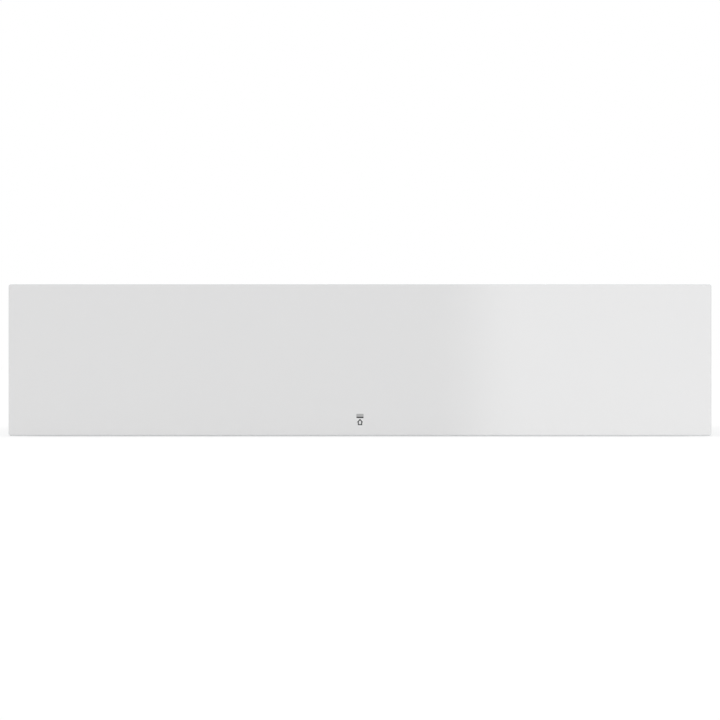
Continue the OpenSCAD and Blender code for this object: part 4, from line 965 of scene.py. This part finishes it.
@dataclass
class Flat(Piece):
    """Thin shapes drawn flat in X and Y and then given a thickness: ink, a bead or a stamped clip."""

    thickness: float = 0.04 * MM

    def outline(self, points: Outline, stroke: float, gone: Test | None = None) -> Object:
        """Make a line that follows a closed shape.

        Args:
            points: the shape's corners, in metres.
            stroke: the width of the line, inside the shape.
            gone: a test that picks the part of the line to leave out.

        Returns:
            The line.
        """
        sheet = Bench.sheet(points)
        with Bench.faces(sheet):
            bpy.ops.mesh.normals_make_consistent(inside=False)
            bpy.ops.mesh.inset(thickness=stroke, depth=0)
            bpy.ops.mesh.delete(type="FACE")
        if gone is not None:
            with Bench.faces(sheet, gone):
                bpy.ops.mesh.delete(type="FACE")
        return self.raised(sheet)

    def raised(self, sheet: Object) -> Object:
        """Give a flat sheet its thickness.

        Args:
            sheet: the flat sheet.

        Returns:
            The same sheet.
        """
        with Bench.faces(sheet):
            bpy.ops.mesh.extrude_region_move(TRANSFORM_OT_translate={"value": (0, 0, self.thickness)})
            bpy.ops.mesh.select_all(action="SELECT")
            bpy.ops.mesh.normals_make_consistent(inside=False)
        return sheet

    def patch(self, points: Outline) -> Object:
        """Make a filled shape."""
        return self.raised(Bench.sheet(points))

    def bar(self, centre: Point, width: float, height: float) -> Object:
        """Make a bar with round ends."""
        return self.patch(rounded(centre, width, height, min(width, height) / 2))


def arc(centre: Point, radius: float, steps: int, start: float = 0.0, sweep: float = 360.0) -> Outline:
    """Points round a circle or along a part of it.

    Args:
        centre: the circle's centre.
        radius: its radius.
        steps: how many points.
        start: the angle of the first point, in degrees.
        sweep: the angle from the first point to the last, or a full turn.

    Returns:
        The points.
    """
    share = sweep / (steps if sweep == 360.0 else steps - 1)
    turns = [math.radians(start + i * share) for i in range(steps)]
    return [(centre[0] + radius * math.cos(t), centre[1] + radius * math.sin(t)) for t in turns]


def rounded(centre: Point, width: float, height: float, radius: float, steps: int = 6) -> Outline:
    """The outline of a rectangle with round corners.

    Args:
        centre: its centre.
        width: its width.
        height: its height.
        radius: its corner radius.
        steps: how many points each corner has.

    Returns:
        The points.
    """
    points = []
    for turn, (sx, sy) in zip((0, 90, 180, 270), ((1, 1), (-1, 1), (-1, -1), (1, -1))):
        corner = (centre[0] + sx * (width / 2 - radius), centre[1] + sy * (height / 2 - radius))
        points += arc(corner, radius, steps, turn, 90)
    return [point for i, point in enumerate(points) if math.dist(point, points[i - 1]) > TINY]


@dataclass
class PressMark(Flat):
    """The printed mark low on the front that shows where to press: a bar, a line and an arrow."""

    width: float = 6.0 * MM
    bar_low: float = 16.1 * MM
    bar_high: float = 18.6 * MM
    line_low: float = 15.0 * MM
    arrow_tip: float = 14.4 * MM
    arrow_shoulder: float = 11.4 * MM
    arrow_foot: float = 9.0 * MM
    arrow_half: float = 2.7 * MM
    stem_half: float = 1.85 * MM
    stroke: float = 0.85 * MM
    corner: float = 0.2 * MM

    def build(self) -> None:
        """Print the mark on the front glass."""
        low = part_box("front_glass")[0]
        upright = Matrix.Translation((0, low.y, low.z)) @ Matrix.Rotation(math.pi / 2, 4, "X")
        bar = self.stripe(self.bar_low, self.bar_high)
        lines = Bench.joined([self.stripe(self.line_low, self.bar_low), self.arrow()])
        prints = ((bar, "press_mark_bar", "mark_pale"), (lines, "press_mark_arrow", "mark_dark"))
        for obj, name, ink in prints:
            obj.data.transform(upright)
            self.seat(obj, name, "drawer", "white_glass", ink)

    def stripe(self, low: float, high: float) -> Object:
        """Make one level stripe between two heights above the panel's foot."""
        return self.patch(rounded((0, (low + high) / 2), self.width, high - low, self.corner))

    def arrow(self) -> Object:
        """Make the outlined arrow.

        Returns:
            The arrow.
        """
        half, stem = self.arrow_half, self.stem_half
        tip, shoulder, foot = self.arrow_tip, self.arrow_shoulder, self.arrow_foot
        left = [(0, tip), (-half, shoulder), (-stem, shoulder), (-stem, foot)]
        return self.outline(left + [(-x, y) for x, y in reversed(left[1:])], self.stroke)


@dataclass
class TouchSymbols(Flat):
    """The printed symbols over the touch sensors, with level dots beside some of them."""

    size: float = 9.0 * MM
    stroke: float = 0.7 * MM
    sensor_pitch: float = 32.0 * MM
    dot_pitch: float = 4.4 * MM
    dot_radius: float = 0.75 * MM
    dots_forward: float = 11.0 * MM
    with_levels: tuple[str, ...] = ("vacuum", "sealing")

    def build(self) -> None:
        """Print every symbol on the touch glass."""
        low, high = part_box("touch_glass")
        middle = (low.y + high.y) / 2
        symbols = {
            "power": self.power,
            "vacuum": self.bag,
            "container": self.container,
            "start": self.start,
            "sealing": self.sealing,
            "lock": self.lock,
        }
        for i, (name, make) in enumerate(symbols.items()):
            x = (i - (len(symbols) - 1) / 2) * self.sensor_pitch
            self.lay(f"symbol_{name}", make(), (x, middle, high.z))
            if name in self.with_levels:
                self.lay(f"levels_{name}", self.levels(), (x, middle - self.dots_forward, high.z))

    def lay(self, name: str, parts: list[Object], place: Triple) -> None:
        """Join the parts of a print and lay them on the glass.

        Args:
            name: the print's name.
            parts: its parts.
            place: where its origin comes.
        """
        whole = Bench.joined(parts)
        whole.data.transform(Matrix.Translation(place))
        self.seat(whole, name, "drawer", "black_glass", "symbol_white")

    def levels(self) -> list[Object]:
        """Three dots in a row."""
        return [self.patch(arc((i * self.dot_pitch, 0), self.dot_radius, 20)) for i in (-1, 0, 1)]

    def power(self) -> list[Object]:
        """A ring open at the top, with an upright bar in the opening.

        Returns:
            Its parts.
        """
        radius, half = self.size / 2, math.radians(35)
        circle = arc((0, 0), radius, 48)
        ring = self.outline(circle, self.stroke, lambda c, normal: abs(math.atan2(c.x, c.y)) < half)
        return [ring, self.bar((0, 0.62 * radius), self.stroke, radius)]

    def bag(self) -> list[Object]:
        """A bag with its seam across the top and an arrow of air leaving it.

        Returns:
            Its parts.
        """
        size, head = self.size, 1.1 * MM
        bag = self.outline(rounded((0, -0.12 * size), 0.8 * size, 0.86 * size, 1.2 * MM), self.stroke)
        seam = self.bar((0, 0.24 * size), 0.62 * size, 0.5 * self.stroke)
        shaft = self.bar((0, 0.56 * size), self.stroke, 0.3 * size)
        return [bag, seam, shaft, self.patch([(-head, 0.62 * size), (head, 0.62 * size), (0, 0.8 * size)])]

    def container(self) -> list[Object]:
        """A jar with its lid.

        Returns:
            Its parts.
        """
        size = self.size
        jar = self.outline(rounded((0, -0.1 * size), 0.78 * size, 0.72 * size, 1.4 * MM), self.stroke)
        return [jar, self.bar((0, 0.38 * size), 0.9 * size, 1.3 * self.stroke)]

    def start(self) -> list[Object]:
        """A ring round a triangle.

        Returns:
            Its parts.
        """
        radius = 0.56 * self.size
        triangle = [(-0.3 * radius, -0.45 * radius), (0.5 * radius, 0), (-0.3 * radius, 0.45 * radius)]
        return [self.outline(arc((0, 0), radius, 48), self.stroke), self.patch(triangle)]

    def sealing(self) -> list[Object]:
        """Two jaws that press a seam, with heat rising from the lower one.

        Returns:
            Its parts.
        """
        size = self.size
        jaws = [self.bar((0, y * size), size, 1.4 * self.stroke) for y in (0.34, 0.12)]
        heat = [self.bar((x * size, -0.26 * size), self.stroke, 0.4 * size) for x in (-0.28, 0, 0.28)]
        return jaws + heat

    def lock(self) -> list[Object]:
        """A padlock.

        Returns:
            Its parts.
        """
        size = self.size
        body = self.outline(rounded((0, -0.16 * size), 0.74 * size, 0.58 * size, 0.8 * MM), self.stroke)
        arch = rounded((0, 0.24 * size), 0.5 * size, 0.6 * size, 0.24 * size)
        return [body, self.outline(arch, self.stroke, lambda centre, normal: centre.y < 0.14 * size)]


@dataclass
class Screw:
    """A machine screw's head with a star-shaped recess.

    The edge is a share of the height, the recess of the radius, and the waist of the recess.
    """

    radius: float
    height: float
    points: int = 6
    edge: float = 0.38
    recess: float = 0.5
    waist: float = 0.68

    def build(self) -> Object:
        """Shape the head, standing on its origin.

        Returns:
            The head.
        """
        head = Bench.rod(self.radius, self.height, (0, 0, self.height / 2), sides=28)
        top = self.height - TINY
        with Bench.edges(head, lambda a, b: a.z > top and b.z > top):
            bpy.ops.mesh.bevel(offset=self.edge * self.height, segments=4, affect="EDGES")
        star = Bench.rod(self.recess * self.radius, self.height, (0, 0, self.height), sides=2 * self.points)
        for vertex in star.data.vertices:
            turn = round(math.atan2(vertex.co.y, vertex.co.x) / (math.pi / self.points))
            if turn % 2:
                vertex.co.x *= self.waist
                vertex.co.y *= self.waist
        return Bench.cut(head, star)


@dataclass
class HingeScrews(Piece):
    """The screws that hold the hinge brackets to the deck, each stopped at a turn of its own.

    What they are stopped at is in radians.
    """

    radius: float = 3.9 * MM
    height: float = 2.3 * MM
    from_rear: float = 7.5 * MM
    half_pitch: float = 14.0 * MM
    bracket_half: float = 24.3 * MM
    foot: float = 1.5 * MM
    stopped: float = 0.7

    def build(self) -> None:
        """Set two screws in the foot of each bracket."""
        low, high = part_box("hinge_brackets")
        moves = []
        for side in (-1, 1):
            for step in (-1, 1):
                x = side * (high.x - self.bracket_half) + step * self.half_pitch
                place = Matrix.Translation((x, high.y - self.from_rear, low.z + self.foot))
                moves.append(place @ Matrix.Rotation(self.stopped * step + side, 4, "Z"))
        heads = Bench.repeated(Screw(self.radius, self.height).build(), moves)
        self.seat(Bench.joined(heads), "hinge_screws", "drawer", "fastener")


@dataclass
class HoseClips(Piece):
    """The spring clips that hold the hoses on their fittings."""

    grip: float = 0.15 * MM
    band: float = 0.7 * MM
    width: float = 6.0 * MM
    ear: float = 5.0 * MM
    ear_width: float = 3.3 * MM
    ear_aside: float = 1.3 * MM
    edge: float = 0.15 * MM
    ear_edge: float = 0.25 * MM
    hose: float = 5.0 * MM
    from_end: float = 4.5 * MM

    def build(self) -> None:
        """Put a clip on each end of both hoses."""
        suction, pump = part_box("suction_hose"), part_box("pump_hose")
        middle_x = (suction[0].x + suction[1].x) / 2
        clips = [
            ((middle_x, suction[0].y + self.from_end, suction[1].z - self.hose), Axis.Y),
            ((middle_x, suction[1].y - self.hose, suction[0].z + self.from_end), Axis.Z),
            ((pump[0].x + self.from_end, pump[0].y + self.hose, pump[1].z - self.hose), Axis.X),
            ((pump[1].x - self.hose, pump[1].y - self.from_end, pump[1].z - self.hose), Axis.Y),
        ]
        moves = []
        for place, axis in clips:
            turn = Axis.Z.unit.rotation_difference(axis.unit).to_matrix().to_4x4()
            moves.append(Matrix.Translation(place) @ turn)
        for i, made in enumerate(Bench.repeated(self.clip(), moves)):
            self.seat(made, f"hose_clip_{i + 1}", "drawer", "fastener")

    def clip(self) -> Object:
        """Shape one clip round the Z axis.

        Returns:
            The clip.
        """
        radius = self.hose - self.grip
        band = Bench.rod(radius, self.width, (0, 0, 0), sides=40, ends="NOTHING")
        wall = band.modifiers.new("wall", "SOLIDIFY")
        wall.thickness = self.band
        wall.offset = 1.0
        clip = [Bench.soften(band, self.edge)]
        for side in (-1, 1):
            centre = (side * self.ear_aside, radius + self.ear / 2, 0)
            ear = Bench.block((self.band, self.ear, self.ear_width), centre)
            clip.append(Bench.soften(ear, self.ear_edge))
        return Bench.joined(clip)


@dataclass
class HingeClips(Flat):
    """The spring clips on the ends of the hinge pins, each stopped at a turn of its own.

    The opening is in degrees, and what they are stopped at is in radians.
    """

    thickness: float = 0.6 * MM
    outer: float = 5.4 * MM
    grip: float = 0.15 * MM
    edge: float = 0.12 * MM
    from_end: float = 0.35 * MM
    pin_length: float = 50.6 * MM
    opening: float = 64.0
    steps: int = 25
    stopped: float = 0.9

    def build(self) -> None:
        """Put a clip on both ends of both pins."""
        low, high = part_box("hinge_pins")
        inner = (high.z - low.z) / 2 - self.grip
        sweep = (self.steps, self.opening / 2, 360 - self.opening)
        shape = arc((0, 0), self.outer, *sweep) + arc((0, 0), inner, *sweep)[::-1]
        clip = Bench.soften(self.patch(shape), self.edge)
        middle = (low + high) / 2
        far = high.x - self.from_end - self.thickness
        near = high.x - self.pin_length + self.from_end
        moves = []
        for i, x in enumerate((far, near, -far - self.thickness, -near - self.thickness)):
            upright = Matrix.Translation((x, middle.y, middle.z)) @ Matrix.Rotation(math.pi / 2, 4, "Y")
            moves.append(upright @ Matrix.Rotation(self.stopped * i, 4, "Z"))
        self.seat(Bench.joined(Bench.repeated(clip, moves)), "hinge_clips", "drawer", "fastener")


@dataclass
class RimSealant(Flat):
    """The bead of sealant round the chamber's rim, where it lies on the deck."""

    thickness: float = 0.7 * MM
    width: float = 1.3 * MM
    corner: float = 53.0 * MM
    edge: float = 0.3 * MM

    def build(self) -> None:
        """Lay the bead along the foot of the rim."""
        low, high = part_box("chamber_tub")
        middle, size = (low + high) / 2, high - low
        across, along = size.x + 2 * self.width, size.y + 2 * self.width
        bead = self.outline(rounded((0, 0), across, along, self.corner + self.width, 18), self.width)
        Bench.soften(bead, self.edge)
        bead.data.transform(Matrix.Translation((middle.x, middle.y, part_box("deck")[1].z)))
        self.seat(bead, "rim_sealant", "drawer", "gasket_rubber")


@dataclass
class WireClamps(Piece):
    """The plates that hold down the heating wires at both ends of the sealing bar."""

    length: float = 5.0 * MM
    from_end: float = 3.9 * MM
    thickness: float = 0.45 * MM
    side: float = 1.2 * MM
    edge: float = 0.15 * MM
    sink: float = 1.5 * MM
    head: float = 1.3 * MM
    head_height: float = 0.2 * MM
    slit: float = 0.35 * MM

    def build(self) -> None:
        """Put a plate with two countersunk screws at each end."""
        low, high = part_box("seal_bar")
        width = high.y - low.y - 2 * self.side
        model = Bench.block((self.length, width, self.thickness), (0, 0, self.thickness / 2))
        Bench.soften(model, self.edge)
        heads = []
        for y in (-width / 4, width / 4):
            Bench.cut(model, Bench.rod(self.sink, self.thickness, (0, y, self.thickness), sides=20))
            head = Bench.rod(self.head, self.head_height, (0, y, 0.75 * self.thickness), sides=20)
            slit = Bench.block((3 * MM, self.slit, self.head_height), (0, y, self.thickness))
            heads.append(Bench.cut(head, slit))
        x = (high.x - low.x) / 2 - self.from_end - self.length / 2
        moves = [Matrix.Translation((side * x, (low.y + high.y) / 2, high.z)) for side in (-1, 1)]
        plates = Bench.repeated(Bench.joined([model, *heads]), moves)
        self.seat(Bench.joined(plates), "wire_clamps", "seal_lift", "contact_brass")


@dataclass
class SpotWelds(Piece):
    """The spot welds along the foot of the housing's walls."""

    radius: float = 2.6 * MM
    above_foot: float = 6.0 * MM
    pitch: float = 58.0 * MM
    proud: float = 0.12 * MM
    dent: float = 0.1 * MM

    def build(self) -> None:
        """Press a row of welds into each side wall."""
        weld = Bench.rod(self.radius, 2 * self.proud, (0, 0, 0), sides=20)
        with Bench.faces(weld, lambda centre, normal: normal.z > 0.9):
            bpy.ops.mesh.inset(thickness=0.25 * self.radius, depth=0)
            bpy.ops.mesh.inset(thickness=0.2 * self.radius, depth=-self.dent)
        for side, hand in ((-1, "left"), (1, "right")):
            low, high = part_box(f"housing_side_{hand}")
            face = high.x if side > 0 else low.x
            outwards = Matrix.Rotation(side * math.pi / 2, 4, "Y")
            count = int((high.y - low.y) / self.pitch)
            start = (low.y + high.y - (count - 1) * self.pitch) / 2
            places = [(face, start + i * self.pitch, low.z + self.above_foot) for i in range(count)]
            row = [Bench.copied(weld, Matrix.Translation(place) @ outwards) for place in places]
            self.seat(Bench.joined(row), f"spot_welds_{hand}", "housing", "galvanised")
        bpy.data.objects.remove(weld)


@dataclass(frozen=True)
class Sun:
    """A far lamp with soft shadows: its turn about X, Y and Z, in degrees, and its strength."""

    name: str
    strength: float
    turn: Triple

    def hang(self, spread: float) -> None:
        """Hang the lamp.

        Args:
            spread: how wide it looks from the object, in degrees.
        """
        data = bpy.data.lights.new(self.name, "SUN")
        data.energy = self.strength
        data.angle = math.radians(spread)
        lamp = bpy.data.objects.new(self.name, data)
        lamp.rotation_euler = [math.radians(t) for t in self.turn]
        bpy.context.scene.collection.objects.link(lamp)


@dataclass(frozen=True)
class Ramp:
    """A far spot aimed level at the front, so that its left edge falls off across the panel."""

    power: float = 97.0
    edge_x: float = 60.0 * MM
    width: float = 76.0 * MM
    height: float = 65.0 * MM
    half: float = math.radians(30)
    soft: float = 10.0 * MM

    def hang(self, away: float) -> None:
        """Hang the spot.

        Args:
            away: how far it is from the front.
        """
        radius = away * math.tan(self.half)
        data = bpy.data.lights.new("ramp", "SPOT")
        data.energy = self.power
        data.spot_size = 2 * self.half
        fall = away * radius / math.hypot(away, radius) ** 3
        data.spot_blend = fall * self.width / (1 - math.cos(self.half))
        data.shadow_soft_size = self.soft
        lamp = bpy.data.objects.new("ramp", data)
        lamp.location = (self.edge_x + radius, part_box("front_glass")[0].y - away, self.height)
        lamp.rotation_euler = (math.pi / 2, 0, 0)
        bpy.context.scene.collection.objects.link(lamp)


@dataclass
class Stage:
    """The floor, the lamps, the world and the camera, none of them part of the object.

    The floor lies just under the object, and its glow and shade are what makes it white where it is seen.
    """

    camera_back: float = 4.0
    photo_width: float = 0.6105
    sensor: float = 36.0
    clip: Point = (0.05, 100.0)
    ambient: float = 0.6
    suns: tuple[Sun, ...] = (
        Sun("key", 0.85, (52, 0, -38)),
        Sun("fill", 0.45, (58, 0, 50)),
        Sun("rear", 0.45, (48, 0, 165)),
    )
    sun_spread: float = 80.0
    floor_size: float = 60.0
    floor_drop: float = 0.2 * MM
    paper: Point = (0.80, 0.82)
    paper_cycles: float = 90.0
    glow: float = 0.62
    shade: float = 0.42

    def build(self) -> None:
        """Set up everything round the object."""
        self.world()
        self.floor()
        for sun in self.suns:
            sun.hang(self.sun_spread)
        Ramp().hang(self.camera_back)
        self.camera()

    @staticmethod
    def grey(level: float) -> tuple[float, float, float, float]:
        """A neutral linear colour."""
        return (level, level, level, 1.0)

    def world(self) -> None:
        """A plain world: white where it is seen, softer as a light."""
        world = bpy.data.worlds.new("studio")
        bpy.context.scene.world = world
        world.use_nodes = True
        bench = NodeBench(world.node_tree)
        seen = bench.add("ShaderNodeBackground", {"Color": self.grey(1), "Strength": 1.0})
        light = bench.add("ShaderNodeBackground", {"Color": self.grey(1), "Strength": self.ambient})
        bench.add("ShaderNodeOutputWorld", {"Surface": bench.chosen(bench.shown(), light, seen)})

    def floor(self) -> None:
        """A pale floor that stays white round the object and keeps its shadow."""
        Bench.clear()
        bpy.ops.mesh.primitive_plane_add(size=self.floor_size, location=(0, 0, -self.floor_drop))
        floor = Bench.settle(bpy.context.active_object)
        floor.name = "floor"
        bench = ShaderBench("floor")
        fibres = bench.spread(bench.noise(bench.place, self.paper_cycles), 0, 1)
        paper = bench.mixed(fibres, *(self.grey(level) for level in self.paper))
        bench.shade(Base_Color=paper, Roughness=0.9, Specular_IOR_Level=0.0)
        glow = bench.add("ShaderNodeEmission", {"Color": self.grey(1), "Strength": self.glow})
        shade = bench.add("ShaderNodeBsdfDiffuse", {"Color": self.grey(self.shade)})
        both = bench.add("ShaderNodeAddShader", {0: glow.outputs[0], 1: shade.outputs[0]})
        bench.feed(bench.output, {"Surface": bench.chosen(bench.shown(), bench.shader, both)})
        floor.data.materials.append(bench.material)

    def camera(self) -> None:
        """A camera level with the middle of the front, as in the photograph."""
        low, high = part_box("front_glass")
        data = bpy.data.cameras.new("camera")
        data.sensor_width = self.sensor
        data.lens = self.sensor * self.camera_back / self.photo_width
        data.clip_start, data.clip_end = self.clip
        camera = bpy.data.objects.new("camera", data)
        camera.location = (0, low.y - self.camera_back, (low.z + high.z) / 2)
        camera.rotation_euler = (math.pi / 2, 0, 0)
        bpy.context.scene.collection.objects.link(camera)
        bpy.context.scene.camera = camera


PIECES = (PressMark, TouchSymbols, HingeScrews, HingeClips, HoseClips, RimSealant, WireClamps, SpotWelds)


def main() -> None:
    """Build the stage, dress the nodes, and add the new pieces."""
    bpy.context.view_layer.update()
    bpy.context.scene.view_settings.view_transform = "Standard"
    Stage().build()
    wardrobe = Wardrobe()
    wardrobe.dress_nodes()
    for assembly in PIECES:
        assembly(wardrobe).build()


if __name__ == "__main__":
    main()
